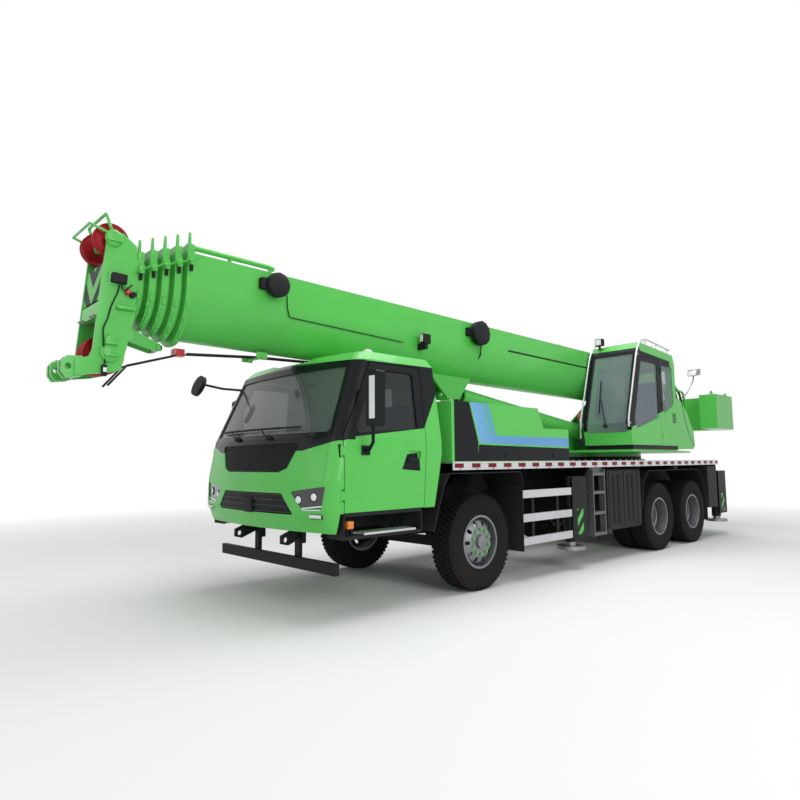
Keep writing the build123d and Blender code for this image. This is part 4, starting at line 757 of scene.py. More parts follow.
class Form(Enum):
    """What a repeat stands on each point: its number of sides."""

    BLOCK = 4
    BOLT = 6


@dataclass
class Repeat:
    """Geometry Nodes tree that stands one tapered form on every point of a mesh."""

    form: Form
    size: tuple[float, float, float]
    taper: float
    paint: Paint
    points: list[Vector] = field(default_factory=list)
    turns: list[tuple[float, float, float]] = field(default_factory=list)

    def add(self, point: Point, turn: tuple[float, float, float] = (0.0, 0.0, 0.0)) -> None:
        """Adds one point with the form's turn there."""
        self.points.append(Vector(point))
        self.turns.append(turn)

    def _tree(self) -> bpy.types.NodeTree:
        """Builds the node tree with its named inputs."""
        tree = bpy.data.node_groups.new(f"repeat_{self.form.name.lower()}", "GeometryNodeTree")
        face = tree.interface
        face.new_socket("Geometry", in_out="INPUT", socket_type="NodeSocketGeometry")
        for label in ("Length", "Width", "Height", "Taper"):
            face.new_socket(label, in_out="INPUT", socket_type="NodeSocketFloat")
        face.new_socket("Finish", in_out="INPUT", socket_type="NodeSocketMaterial")
        face.new_socket("Geometry", in_out="OUTPUT", socket_type="NodeSocketGeometry")

        def add(kind: str, settings: Optional[dict] = None, **links: object) -> bpy.types.NodeSocket:
            """Makes a node, fills its sockets by name and hands back its first output."""
            node = tree.nodes.new(kind)
            for key, value in (settings or {}).items():
                setattr(node, key, value)
            for key, value in links.items():
                socket = node.inputs[key.replace("_", " ")]
                if isinstance(value, bpy.types.NodeSocket):
                    tree.links.new(value, socket)
                else:
                    socket.default_value = value
            return node.outputs[0]

        given = tree.nodes.new("NodeGroupInput").outputs
        square = self.form is Form.BLOCK
        radius = math.sqrt(0.5) if square else 0.5
        top = tree.nodes.new("ShaderNodeMath")
        top.operation = "MULTIPLY"
        tree.links.new(given["Taper"], top.inputs[0])
        top.inputs[1].default_value = radius
        cone = add("GeometryNodeMeshCone", Vertices=self.form.value, Radius_Top=top.outputs[0],
                   Radius_Bottom=radius, Depth=1.0)
        quarter = math.pi / 4 if square else 0.0
        turned = add("GeometryNodeTransform", Geometry=cone, Rotation=(0.0, 0.0, quarter))
        sizes = add("ShaderNodeCombineXYZ", X=given["Length"], Y=given["Width"], Z=given["Height"])
        sized = add("GeometryNodeTransform", Geometry=turned, Scale=sizes)
        turn = add("GeometryNodeInputNamedAttribute", {"data_type": "FLOAT_VECTOR"}, Name="turn")
        stand = add("GeometryNodeInstanceOnPoints", Points=given["Geometry"], Instance=sized, Rotation=turn)
        real = add("GeometryNodeRealizeInstances", Geometry=stand)
        dressed = add("GeometryNodeSetMaterial", Geometry=real, Material=given["Finish"])
        tree.links.new(dressed, tree.nodes.new("NodeGroupOutput").inputs[0])
        return tree

    def make(self, name: str, body: str, slot: str) -> bpy.types.Object:
        """Runs the tree on the points and keeps the result as a plain mesh.

        Args:
            name: The piece's name.
            body: The CAD body that it rides on.
            slot: The record's material slot; not used.

        Returns:
            The new object.
        """
        seeds = bpy.data.meshes.new(name + "_points")
        seeds.from_pydata([tuple(p) for p in self.points], [], [])
        turn = seeds.attributes.new("turn", "FLOAT_VECTOR", "POINT")
        turn.data.foreach_set("vector", [v for t in self.turns for v in t])
        carrier = bpy.data.objects.new(name + "_carrier", seeds)
        bpy.context.scene.collection.objects.link(carrier)
        modifier = carrier.modifiers.new("repeat", "NODES")
        modifier.node_group = self._tree()
        values = dict(zip(("Length", "Width", "Height"), self.size), Taper=self.taper,
                      Finish=Palette.get(self.paint))
        for item in modifier.node_group.interface.items_tree:
            if item.in_out == "INPUT" and item.name in values:
                modifier[item.identifier] = values[item.name]
        carrier.update_tag()
        ready = carrier.evaluated_get(bpy.context.evaluated_depsgraph_get())
        data = bpy.data.meshes.new_from_object(ready)
        carrier.modifiers.clear()
        bpy.data.objects.remove(carrier)
        if not data.materials:
            data.materials.append(Palette.get(self.paint))
        return join_scene(name, data, body)


@dataclass
class Wheels:
    """Tyres with block tread."""

    width: float = 0.293
    bead: float = 0.288
    tread_depth: float = 0.013
    block: tuple[float, float, float] = (0.041, 0.043, 0.018)
    block_taper: float = 0.86
    block_sink: float = 0.0175
    shoulder_drop: float = 0.004
    pitches: int = 58
    rows: tuple[float, ...] = (-0.112, -0.058, 0.0, 0.058, 0.112)
    front_y: float = 1.040
    rear_y: tuple[float, ...] = (1.121, 0.791)
    steps: int = 72

    def _carcass(self, shape: Shape, x: float, y: float) -> None:
        """Adds one tyre without its tread."""
        half, bead, crown = self.width / 2, self.bead, TYRE_RADIUS - self.tread_depth
        profile = [(bead, -half + 0.032), (bead + 0.012, -half + 0.014), (bead + 0.03, -half + 0.012),
                   (bead + 0.07, -half + 0.004), (bead + 0.14, -half), (TYRE_RADIUS - 0.075, -half + 0.004),
                   (TYRE_RADIUS - 0.045, -half + 0.009), (crown - 0.006, -half + 0.024),
                   (crown, -half + 0.045)]
        profile += [(r, -h) for r, h in reversed(profile)]
        shape.lathe(profile + profile[:1], (x, y, TYRE_RADIUS), (0, 1, 0), self.steps)

    def _tread(self, name: str, body: str, paint: Paint, places: Sequence[Pair]) -> None:
        """Stands the tread blocks of one wheel, or of a twin."""
        blocks = Repeat(Form.BLOCK, self.block, self.block_taper, paint)
        for x, y in places:
            for number, row in enumerate(self.rows):
                edge = row in (self.rows[0], self.rows[-1])
                r = TYRE_RADIUS - self.block_sink - (self.shoulder_drop if edge else 0.0)
                for k in range(self.pitches):
                    a = 2 * math.pi * (k + 0.5 * (number % 2)) / self.pitches
                    blocks.add(at(x + r * math.sin(a), y + row, TYRE_RADIUS + r * math.cos(a)), (0.0, a, 0.0))
        blocks.make(name, body, "tyre_rubber")

    def build(self) -> None:
        """Makes the tyres of the six wheels."""
        for side, sign in SIDES.items():
            groups = {"front": [(0.0, sign * self.front_y)]}
            for axle, x in zip(("middle", "rear"), REAR_AXLES):
                groups[axle] = [(x, sign * y) for y in self.rear_y]
            for axle, places in groups.items():
                paint = Paint.TYRE_FRONT if axle == "front" else Paint.TYRE_REAR
                shape = Shape(paint)
                for x, y in places:
                    self._carcass(shape, x, y)
                body = f"wheel_{axle}_{side}"
                shape.make(f"carcass_{axle}_{side}", body, "tyre_rubber", [f"tyre_{axle}_{side}"])
                self._tread(f"tread_{axle}_{side}", body, paint, places)


@dataclass
class DriverCab:
    """Wipers, lamps, grilles and small fittings of the driver's cab."""

    levels: tuple[tuple[float, float, float, float], ...] = (
        (0.80, 1.225, 2.225, 2.120), (1.0, 1.25, 2.30, 2.19), (1.283, 1.255, 2.30, 2.18),
        (1.69, 1.25, 2.245, 2.105), (2.47, 1.15, 1.87, 1.78), (2.56, 1.085, 1.77, 1.69))
    corner: float = 0.15
    folded_mirror: tuple[float, float, float] = (-0.15, -0.13, -0.07)
    beacon: tuple[float, float, float] = (1.37, 0.8, 2.552)
    lamp_radius: float = 0.038
    mesh_step: float = 0.042
    grille_step: float = 0.074

    def on_front(self, y: float, z: float, out: float = 0.0) -> Vector:
        """Place in front of the cab's skin at a distance from the middle and a height."""
        for low, high in zip(self.levels, self.levels[1:]):
            if z <= high[0]:
                break
        t = (z - low[0]) / (high[0] - low[0])
        half, centre, corner = [low[i] + (high[i] - low[i]) * t for i in (1, 2, 3)]
        flat = half - self.corner
        bulge = centre - (centre - corner) * min(abs(y) / flat, 1.0) ** 2
        over = max(abs(y) - flat, 0.0)
        return at(bulge - (self.corner - math.sqrt(max(self.corner ** 2 - over ** 2, 0.0))) + out, y, z)

    def _wipers(self) -> None:
        """Two wipers parked along the windscreen's lower edge, and a third pivot's cap."""
        shape = Shape(Paint.PLASTIC)
        for pivot, sweep in ((-0.35, (-0.92, -0.22)), (0.29, (-0.50, 0.72)), (0.92, None)):
            base = self.on_front(pivot, 1.70)
            shape.lathe([(0, 0.05), (0.018, 0.05), (0.026, 0.035), (0.028, -0.01)], base, (1, 0, 0.3), 14)
            if sweep is None:
                continue
            start, end = sweep
            middle = (start + end) / 2
            shape.tube([base + Vector((0.035, 0, 0.01)), self.on_front((pivot + middle) / 2, 1.755, 0.055),
                        self.on_front(middle, 1.80, 0.035)], 0.008, 8, 0.05)
            blade = [self.on_front(start + (end - start) * t, 1.80, 0.022) for t in (0, 0.25, 0.5, 0.75, 1)]
            shape.tube(blade, 0.011, 6)
            shape.tube([p + Vector((0.016, 0, 0.004)) for p in blade[1:4]], 0.006, 6)
        shape.make("wipers", "root", "black_plastic")

    def _grille(self) -> None:
        """Lattice of the lower grille and the sensor cover in its middle."""
        bars = Repeat(Form.BLOCK, (0.016, 0.013, 0.17), 1.0, Paint.BARS)
        for k in range(-8, 9):
            bars.add(self.on_front(k * self.grille_step, 0.975, -0.016))
        bars.make("grille_uprights", "root", "black_plastic")
        shape = Shape(Paint.BARS, Paint.PLASTIC)
        for z, half in ((0.980, 0.70), (1.036, 0.66), (1.092, 0.61), (1.144, 0.56)):
            shape.tube([self.on_front(half * (t / 8 - 1), z, -0.010) for t in range(17)], 0.007, 6)
        x = self.on_front(0.0, 1.05).x
        shape.use(1).box(Vector((x - 0.03, -0.07, 0.955)), Vector((x + 0.012, 0.07, 1.10)), 0.006)
        shape.make("grille_rails", "root", "black_plastic")

    def _mesh_panel(self) -> None:
        """Rows of small bars in the panel under the windscreen."""
        bars = Repeat(Form.BLOCK, (0.006, 0.030, 0.005), 0.9, Paint.PLASTIC)
        step = self.mesh_step
        for row in range(13):
            z, odd = 1.385 + row * 0.019, row % 2
            count = int((0.50 + (z - 1.36) * 0.85) / step)
            for k in range(-count, count + 1):
                bars.add(self.on_front((k + odd / 2) * step, z, -0.013), (0.7 if odd else -0.7, 0.0, 0.0))
        bars.make("mesh_bars", "root", "black_plastic")

    def _lamps(self) -> None:
        """Lens bowls, fog lamps, side lamps and the beacon."""
        shape = Shape(Paint.LENS, Paint.PLASTIC, Paint.AMBER)
        r, ring = self.lamp_radius, self.lamp_radius + 0.008
        for sign in SIDES.values():
            for y, z in LAMP_BOWLS:
                spot, axis = self.on_front(sign * y, z, -0.010), (1, sign * 0.25, 0)
                shape.use(0).lathe([(r, -0.02), (r, 0.0), (r * 0.8, 0.007), (0, 0.011)], spot, axis, 20)
                shape.use(1).lathe([(ring, -0.02), (ring, 0.003), (r, 0.005), (r, -0.02)], spot, axis, 20)
            strip = [self.on_front(sign * y, 0.9848 + y * 0.03, -0.004) for y in (0.86, 0.95, 1.03, 1.09)]
            shape.use(0).tube(strip, 0.006, 6)
            for slot, out, radius in ((0, 0.014, 0.016), (1, -0.002, 0.023)):
                fog = [self.on_front(sign * y, 0.958, out) for y in (0.97, 1.02, 1.07, 1.11)]
                shape.use(slot).tube(fog, radius, 8)
            shape.use(2).box((1.93, sign * 1.20, 0.845), (2.00, sign * 1.26, 0.915), 0.008)
        for slot, profile in ((1, ((0.075, 0.0), (0.075, 0.02), (0.06, 0.025))),
                              (0, ((0.06, 0.02), (0.06, 0.055), (0.045, 0.085), (0.02, 0.098), (0, 0.10)))):
            shape.use(slot).lathe(profile, self.beacon, (0, 0, 1), 24)
        shape.make("lamps_and_beacon", "root", "lamp_lens")

    def _doors(self) -> None:
        """Handles and mirror faces that ride on the doors."""
        for side, sign in SIDES.items():
            shape = Shape(Paint.PLASTIC, Paint.MIRROR, Paint.LENS)
            fold = (0.0, 0.0, 0.0) if sign > 0 else self.folded_mirror
            for slot, shift, low, high, bevel in (
                    (0, (0.0, 0.0, 0.0), (1.09, 1.246, 1.455), (1.225, 1.266, 1.495), 0.006),
                    (0, (0.0, 0.0, 0.0), (1.075, 1.243, 1.38), (1.24, 1.251, 1.43), EDGE),
                    (2, fold, (1.903, 1.452, 1.85), (1.909, 1.528, 2.245), 0.002),
                    (1, fold, (1.794, 1.425, 1.83), (1.801, 1.535, 2.26), 0.002)):
                ends = [(c[0] + shift[0], sign * (c[1] + shift[1]), c[2] + shift[2]) for c in (low, high)]
                shape.use(slot).box(*ends, bevel)
            shape.make(f"door_fittings_{side}", f"door_{side}", "black_plastic")

    def build(self) -> None:
        """Makes every fitting."""
        self._wipers()
        self._grille()
        self._mesh_panel()
        self._lamps()
        self._doors()


@dataclass
class Boom:
    """Fittings along the telescopic boom and on its head."""

    step: float = 0.082
    front: float = 3.19
    pitch: float = 0.10
    top: float = 3.296
    height: float = 0.79
    half: float = 0.33
    pads: int = 9
    head_face: float = 0.250
    head_skin: float = 0.262
    pins: tuple[tuple[float, float, float], ...] = (
        (3.795, 3.407, 0.075), (3.79, 2.400, 0.085), (3.79, 2.503, 0.055))
    bodies: tuple[str, ...] = ("boom", "boom_section_2", "boom_section_3", "boom_section_4", "boom_section_5")

    def _collar(self, index: int) -> None:
        """Hose fingers, clamps and pad bolts on one section's collar."""
        rise = 0.055 + 0.006 * index
        less = self.step / 2 * index
        x, width = self.front + self.pitch * index, self.half - less
        half, top = width + rise, self.top - less + rise
        body = self.bodies[index]
        shape = Shape(Paint.GREEN, Paint.PLASTIC, place=on_boom)
        for sign in SIDES.values():
            y = sign * half
            shape.use(0).plate((x - 0.052, x - 0.008), (top - 0.20, top - 0.13), y, y + sign * 0.045, 0.004)
            for path in (((-0.03, 0.035, -0.165), (-0.06, 0.06, -0.15), (-0.10, 0.10, -0.12)),
                         ((-0.03, 0.035, -0.175), (0.01, 0.07, -0.19), (0.02, 0.11, -0.18))):
                shape.tube([(x + dx, y + sign * dy, top + dz) for dx, dy, dz in path], 0.009, 6)
            clamp = y + sign * 0.02
            shape.use(1).tube([(x - 0.03, clamp, top - 0.205), (x - 0.03, clamp, top - 0.255)], 0.016, 8)
            shape.use(0).plate((x - 0.055, x - 0.005), (top - 0.055, top + 0.005), y - sign * 0.035,
                               y + sign * 0.004, 0.004)
        shape.make(f"collar_fittings_{index + 1}", body, "green_paint")

        ry, rz = width + rise, self.height - self.step * index - width + rise
        pads = Repeat(Form.BLOCK, (0.034, 0.075, 0.012), 0.85, Paint.GREEN)
        for k in range(self.pads):
            a = math.radians(202 + k * 17)
            spot = on_boom(x - 0.03, ry * math.cos(a), self.top - less - width + rz * math.sin(a))
            pads.add(spot, (math.atan2(-math.cos(a) / ry, math.sin(a) / rz), 0.0, 0.0))
        pads.make(f"collar_pads_{index + 1}", body, "green_paint")

    def _head(self) -> None:
        """Switch box, lamps, pin covers, rope guard, chevron board and cables on the head."""
        shape = Shape(Paint.GREEN, Paint.PLASTIC, Paint.REDLENS, Paint.STEEL, Paint.CHEVRON, Paint.LENS)
        plate, skin = self.head_face, self.head_skin
        for sign in SIDES.values():
            face = sign * plate
            for x, z, r in self.pins:
                cap = ((r, 0.0), (r, 0.018), (r * 0.8, 0.030), (0, 0.032))
                shape.lathe(cap, (x, face, z), (0, sign, 0), 24)
                shape.slab(((x - 0.06, z - 0.035), (x + 0.06, z - 0.035), (x + 0.045, z - 0.015),
                            (x - 0.045, z - 0.015)), face, face + sign * 0.055)
        shape.plate((3.604, 3.756), (2.790, 2.812), plate, 0.300)
        shape.plate((3.67, 3.83), (2.995, 3.105), plate, skin)
        shape.use(1).slab(((3.69, 3.005), (3.815, 3.010), (3.81, 3.095), (3.685, 3.090)), skin, 0.315, 0.010)
        shape.lathe([(0.026, 0.0), (0.026, 0.045), (0.0, 0.050)], (3.625, plate, 2.93), (0, 1, 0), 14)
        shape.use(2).lathe([(0.024, 0.0), (0.024, 0.040), (0.014, 0.055), (0, 0.058)], (3.668, plate, 2.945),
                           (0, 1, 0), 16)
        shape.use(1).plate((3.82, 3.86), (2.19, 2.29), skin, 0.300, 0.010)
        shape.use(5).plate((3.826, 3.854), (2.225, 2.262), 0.300, 0.304, 0.001)
        for path in (((3.74, 0.268, 3.00), (3.75, 0.275, 2.93), (3.77, skin, 2.88), (3.80, skin, 2.80),
                      (3.82, skin, 2.70)),
                     ((3.72, 0.268, 3.00), (3.71, 0.280, 2.95), (3.67, 0.270, 2.98), (3.63, skin, 3.02)),
                     ((3.82, skin, 2.70), (3.86, 0.275, 2.60), (3.85, 0.275, 2.45), (3.83, 0.268, 2.30))):
            shape.use(1).tube(path, 0.006, 6, 0.03)
        shape.use(0).tube([(3.80, 0.245, 3.44), (3.86, 0.235, 3.62), (3.86, -0.235, 3.62),
                           (3.80, -0.245, 3.44)], 0.014, 8, 0.02)
        for sign in SIDES.values():
            shape.tube([(3.80, sign * 0.245, 3.44), (3.99, sign * 0.235, 3.50)], 0.012, 8)
        shape.tube([(3.99, 0.238, 3.50), (3.99, -0.238, 3.50)], 0.011, 8)
        shape.use(4).slab(((3.860, 2.86), (3.885, 2.86), (3.858, 3.19), (3.833, 3.19)), -0.222, 0.222, 0.002)
        for y in (-0.195, -0.11, 0.11, 0.195):
            shape.use(3).tube([(3.79, y, 2.70), (3.93, y, 2.72)], 0.010, 6)
        shape.use(0)
        for sign in SIDES.values():
            shape.slab(((3.62, 2.70), (3.30, 2.56), (3.28, 2.50), (3.34, 2.49), (3.62, 2.56)), sign * 0.07,
                       sign * 0.09)
        shape.use(2).plate((3.04, 3.14), (2.475, 2.55), -0.05, 0.05, 0.01)
        shape.use(3).lathe([(0.03, -0.10), (0.03, 0.10)], (3.31, 0, 2.525), (0, 1, 0), 14)
        shape.make("head_fittings", "boom_section_5", "green_paint")

    def _head_ropes(self) -> None:
        """Ropes that tie the head's lower sheave back under the collars."""
        shape = Shape(Paint.ROPE)
        for y in (-0.066, 0.066):
            shape.tube([(3.74, y, 2.14), (3.58, y, 2.335), (3.10, y * 0.6, 2.49)], 0.010, 6)
        shape.make("head_ropes", "boom_section_5", "engine_iron")

    def _base(self) -> None:
        """Tube, reels, cables, work lamp and rope guide on the base section."""
        shape = Shape(Paint.GREEN, Paint.PLASTIC, Paint.LENS, Paint.ROPE, place=on_boom)
        z, y, top = self.top + 0.077, 0.25, self.top
        shape.tube([(3.15, y, z), (2.26, y, z), (2.20, y, z - 0.010)], 0.026, 10, 0.02)
        for x in (2.24, 2.70, 3.08):
            shape.tube([(x, y, z), (x, y - 0.02, top - 0.02)], 0.020, 8)
        for x, r in ((2.25, 0.120), (-1.0, 0.165)):
            shape.use(1).lathe([(r, -0.085), (r + 0.006, -0.07), (r + 0.006, 0.0), (r * 0.86, 0.012),
                                (r * 0.5, 0.020), (0, 0.022)], (x, 0.46, top - 0.15), (0, 1, 0), 12, False)
            shape.slab(((x - 0.02, top - 0.09), (x + r + 0.05, top - 0.09), (x + r + 0.05, top - 0.20),
                        (x - 0.02, top - 0.20)), 0.33, 0.40, 0.008)
        shape.tube([(-1.02, 0.43, 3.00), (-1.03, 0.39, 2.93), (-1.10, 0.345, 2.88), (-1.08, 0.30, 2.80)],
                   0.009, 6, 0.03)
        shape.tube([(2.16, 0.40, 3.12), (2.10, 0.36, 3.10), (2.08, 0.345, 2.95), (2.05, 0.342, 2.86),
                    (0.4, 0.340, 2.83)], 0.006, 6, 0.02)
        shape.use(1, at).plate((0.03, 0.17), (2.93, 3.05), 0.40, 0.46, 0.012)
        shape.plate((0.075, 0.125), (2.86, 2.94), 0.31, 0.45, 0.006)
        shape.use(2).box((0.170, 0.408, 2.945), (0.176, 0.452, 3.035), 0.001)
        shape.use(0)
        for low, high in ((-0.16, -0.14), (0.14, 0.16)):
            shape.slab(((2.20, 2.60), (2.32, 2.60), (2.32, 2.53), (2.20, 2.53)), low, high)
        shape.tube([(2.26, -0.17, 2.545), (2.26, 0.17, 2.545)], 0.014, 8)
        shape.use(0, on_boom).plate((-3.40, -3.36), (top, top + 0.06), -0.20, 0.20)
        for y in (-0.04, 0.04):
            shape.use(3, at).tube([(3.02, y, 2.51), (2.26, y, 2.565), (1.6, y, 2.585)], 0.010, 6)
        shape.make("boom_fittings", "boom", "green_paint")

    def build(self) -> None:
        """Makes the fittings of every section."""
        for index in range(len(self.bodies)):
            self._collar(index)
        self._head()
        self._head_ropes()
        self._base()


@dataclass
class Superstructure:
    """Operator's cab fittings, counterweight eyes, pipework and lamps on the slewing platform."""

    outer_y: float = 1.20
    inner_y: float = 0.375
    roof_bars: tuple[float, ...] = (-4.45, -4.85, -5.30)
    louvres: int = 7
    pipes: int = 6
    eye_radius: float = 0.055

    def _grab_tubes(self) -> None:
        """Bright tubes down both front pillars and round the roof."""
        shape = Shape(Paint.ALUMINIUM, Paint.PLASTIC, Paint.LENS)
        for y in (self.outer_y + 0.005, self.inner_y - 0.003):
            path = [(-3.66, y, 1.98), (-3.655, y, 2.10), (-4.03, y, 3.22), (-4.18, y, 3.43), (-4.40, y, 3.47)]
            if y > self.inner_y:
                path.append((-5.38, y - 0.03, 3.40))
            shape.tube(path, 0.015, 10, 0.10)
            for x, z in ((-3.665, 2.06), (-4.03, 3.20)):
                shape.tube([(x, y, z), (x - 0.08, y - math.copysign(0.01, y - 0.8), z - 0.02)], 0.010, 8)
        for x in self.roof_bars:
            back = -4.40 - x
            z = 3.455 - back * 0.07
            shape.tube([(x, 1.18, z), (x, 1.15, 3.36 - back * 0.065)], 0.010, 8)
            shape.tube([(x, 1.18, z), (x, 0.45, z)], 0.008, 8)
        shape.use(1).slab(((-4.20, 3.42), (-4.10, 3.41), (-4.10, 3.54), (-4.20, 3.54)), 0.44, 0.57, 0.012)
        shape.tube([(-4.15, 0.505, 3.36), (-4.15, 0.505, 3.44)], 0.02, 8)
        shape.use(2).box((-4.099, 0.455, 3.430), (-4.094, 0.555, 3.525), 0.001)
        shape.make("operator_grab_tubes", "turntable", "deck_aluminium")

    def _screen(self) -> None:
        """Wiper, screen rails and louvre."""
        shape = Shape(Paint.PLASTIC, Paint.GRILLE)
        shape.tube([(-3.685, 0.80, 2.00), (-3.74, 0.72, 2.35), (-3.80, 0.66, 2.50)], 0.010, 8)
        shape.tube([(-3.745, 0.66, 2.22), (-3.90, 0.64, 2.78)], 0.011, 6)
        shape.lathe([(0.03, 0.0), (0.03, 0.04), (0.0, 0.045)], (-3.70, 0.80, 2.0), (1, 0, 0.3), 14)
        for y in (0.44, 1.14):
            shape.tube([(-3.71, y, 2.03), (-4.055, y, 3.17)], 0.012, 8)
        shape.use(1)
        for k in range(self.louvres):
            z = 2.10 + k * 0.026
            shape.box((-5.46, self.outer_y - 0.002, z), (-5.33, self.outer_y + 0.005, z + 0.013), 0.002)
        shape.make("operator_screen_fittings", "turntable", "black_plastic")

    def _platform(self) -> None:
        """Hydraulic pipes, slewing gear and lamp on the platform."""
        shape = Shape(Paint.GREEN, Paint.PLASTIC, Paint.STEEL, Paint.LENS)
        for k in range(self.pipes):
            y = 0.44 + k * 0.075
            shape.use(0 if k % 2 else 1).tube([
                (-6.10, y, 2.05), (-6.22, y, 2.75 + k * 0.05), (-6.55, y, 3.04 - k * 0.05),
                (-6.90, y * 0.95, 2.80), (-7.10, y * 0.9, 2.50)], 0.022, 8, 0.12)
        shape.use(0).slab(((-6.75, 1.67), (-6.35, 1.67), (-6.40, 2.20), (-6.70, 2.20)), 0.42, 0.70, 0.02)
        shape.lathe([(0.15, 0.0), (0.15, 0.22), (0.11, 0.26), (0.11, 0.48), (0.08, 0.52), (0, 0.53)],
                    (-4.35, -0.30, 1.631), (0, 0, 1), 24)
        stalk = ((-6.90, 0.62, 2.60), (-7.20, 0.72, 2.78), (-7.40, 0.80, 3.08), (-7.42, 0.80, 3.20))
        shape.use(2).tube(stalk, 0.014, 8, 0.05)
        shape.slab(((-7.30, 3.15), (-7.54, 3.19), (-7.56, 3.32), (-7.34, 3.30)), 0.72, 0.90, 0.02)
        lens = ((-7.298, 3.165), (-7.303, 3.165), (-7.343, 3.285), (-7.338, 3.285))
        shape.use(3).slab(lens, 0.74, 0.88, 0.001)
        shape.make("platform_fittings", "turntable", "green_paint")

    def _hand_lamp(self) -> None:
        """Red lamp and round horn on a stalk beside the operator's cab front."""
        shape = Shape(Paint.PLASTIC, Paint.REDLENS, Paint.ALUMINIUM)
        shape.use(2).tube([(-3.70, 0.34, 1.80), (-3.69, 0.34, 2.16)], 0.010, 8)
        shape.use(1).lathe([(0.035, 0.0), (0.035, 0.08), (0.0, 0.085)], (-3.69, 0.34, 2.15), (0, 0, 1), 14)
        shape.use(0).lathe([(0.055, -0.02), (0.06, 0.0), (0.05, 0.02), (0, 0.026)], (-3.68, 0.34, 1.76),
                           (1, 0.2, 0), 18)
        shape.make("platform_hand_lamp", "turntable", "black_plastic")

    def _weight(self) -> None:
        """Lifting eyes of the counterweight."""
        shape = Shape(Paint.GREEN)
        r = self.eye_radius
        for y in (1.05, -1.05):
            for x in (-7.62, -8.40):
                arc = [(x + r * math.cos(math.pi * k / 8), y, 2.790 + r * math.sin(math.pi * k / 8))
                       for k in range(9)]
                shape.tube([(x + r, y, 2.765), *arc, (x - r, y, 2.765)], 0.014, 8)
        shape.make("counterweight_eyes", "turntable", "green_paint")

    def build(self) -> None:
        """Makes every fitting on the platform."""
        self._grab_tubes()
        self._screen()
        self._platform()
        self._hand_lamp()
        self._weight()


@dataclass
class Carrier:
    """Fittings of the chassis, deck and engine cover."""

    ring_bolts: int = 40
    ring_radius: float = 0.745
    rail_bolts: int = 27
    slats: int = 16
    tread_teeth: int = 14
    tank_flutes: tuple[float, ...] = (-3.05, -3.20, -3.50, -3.65)

    def _bolts(self) -> None:
        """Bolts of the slewing ring and of the marker rail."""
        ring = Repeat(Form.BOLT, (0.036, 0.036, 0.024), 0.9, Paint.STEEL)
        for k in range(self.ring_bolts):
            a = 2 * math.pi * k / self.ring_bolts
            ring.add(at(-4.95 + self.ring_radius * math.cos(a), self.ring_radius * math.sin(a), 1.450))
        ring.make("ring_bolts", "root", "jack_steel")
        small = Repeat(Form.BOLT, (0.020, 0.020, 0.008), 0.9, Paint.STEEL)
        for k in range(self.rail_bolts):
            for sign in SIDES.values():
                spot = at(0.45 - k * MARKER_PITCH, sign * 1.275, 1.372)
                small.add(spot, (-sign * math.pi / 2, 0.0, 0.0))
        small.make("rail_bolts", "root", "jack_steel")

    def _hood(self) -> None:
        """Latches and louvres of the engine cover."""
        shape = Shape(Paint.PLASTIC)
        for x in (-0.45, -1.45):
            for sign in SIDES.values():
                shape.box((x - 0.06, sign * FITTING_Y, 1.50), (x + 0.06, sign * 1.270, 1.545))
        shape.make("hood_latches", "root", "black_plastic")
        slats = Repeat(Form.BLOCK, (0.010, 0.62, 0.018), 0.8, Paint.PLASTIC)
        for k in range(self.slats):
            slats.add(at(0.35 - k * 0.05, 0.0, 1.8705))
        slats.make("hood_louvres", "root", "black_plastic")

    def _tank(self) -> None:
        """Pressed flutes on the tanks' outer sides."""
        shape = Shape(Paint.PLASTIC)
        for sign in SIDES.values():
            for x in self.tank_flutes:
                shape.box((x - 0.055, sign * 1.236, 0.52), (x + 0.055, sign * 1.250, 1.24), 0.006)
        shape.make("tank_flutes", "root", "black_plastic")

    def _rear(self) -> None:
        """Rear bar with its hangers and tail lamps."""
        shape = Shape(Paint.PLASTIC, Paint.REDLENS, Paint.AMBER, Paint.LENS)
        shape.box((-7.70, -1.16, 0.60), (-7.64, 1.16, 0.76), 0.01)
        for sign in SIDES.values():
            shape.use(0).box((-7.66, sign * 0.36, 0.62), (-7.61, sign * 0.44, 1.0), 0.005)
            for slot, y0, y1 in ((1, 0.98, 1.12), (2, 0.84, 0.97), (3, 0.72, 0.83)):
                shape.use(slot).box((-7.712, sign * y0, 0.63), (-7.70, sign * y1, 0.73), 0.004)
        shape.make("tail_lamps", "root", "black_plastic")

    def _flaps(self) -> None:
        """Rubber flaps behind the front wheels and behind the last axle."""
        shape = Shape(Paint.PLASTIC)
        for x, top, foot in ((-0.735, 1.17, 0.36), (-6.560, 0.66, 0.34)):
            for sign in SIDES.values():
                shape.box((x - 0.006, sign * 0.70, foot), (x + 0.006, sign * 1.245, top), 0.002)
        shape.make("wheel_flaps", "root", "black_plastic")

    def _steps(self) -> None:
        """Bright plates and teeth of the cab steps."""
        treads = Repeat(Form.BLOCK, (0.030, 0.16, 0.006), 0.7, Paint.ALUMINIUM)
        plate = Shape(Paint.ALUMINIUM)
        for sign in SIDES.values():
            plate.box((1.12, sign * 1.085, 0.7755), (1.80, sign * 1.252, 0.796), 0.004)
            for k in range(self.tread_teeth):
                treads.add(at(1.155 + k * 0.048, sign * 1.168, 0.7955))
        plate.make("step_plates", "root", "deck_aluminium")
        treads.make("step_treads", "root", "deck_aluminium")

    def build(self) -> None:
        """Makes the carrier's fittings."""
        self._bolts()
        self._hood()
        self._tank()
        self._rear()
        self._flaps()
        self._steps()


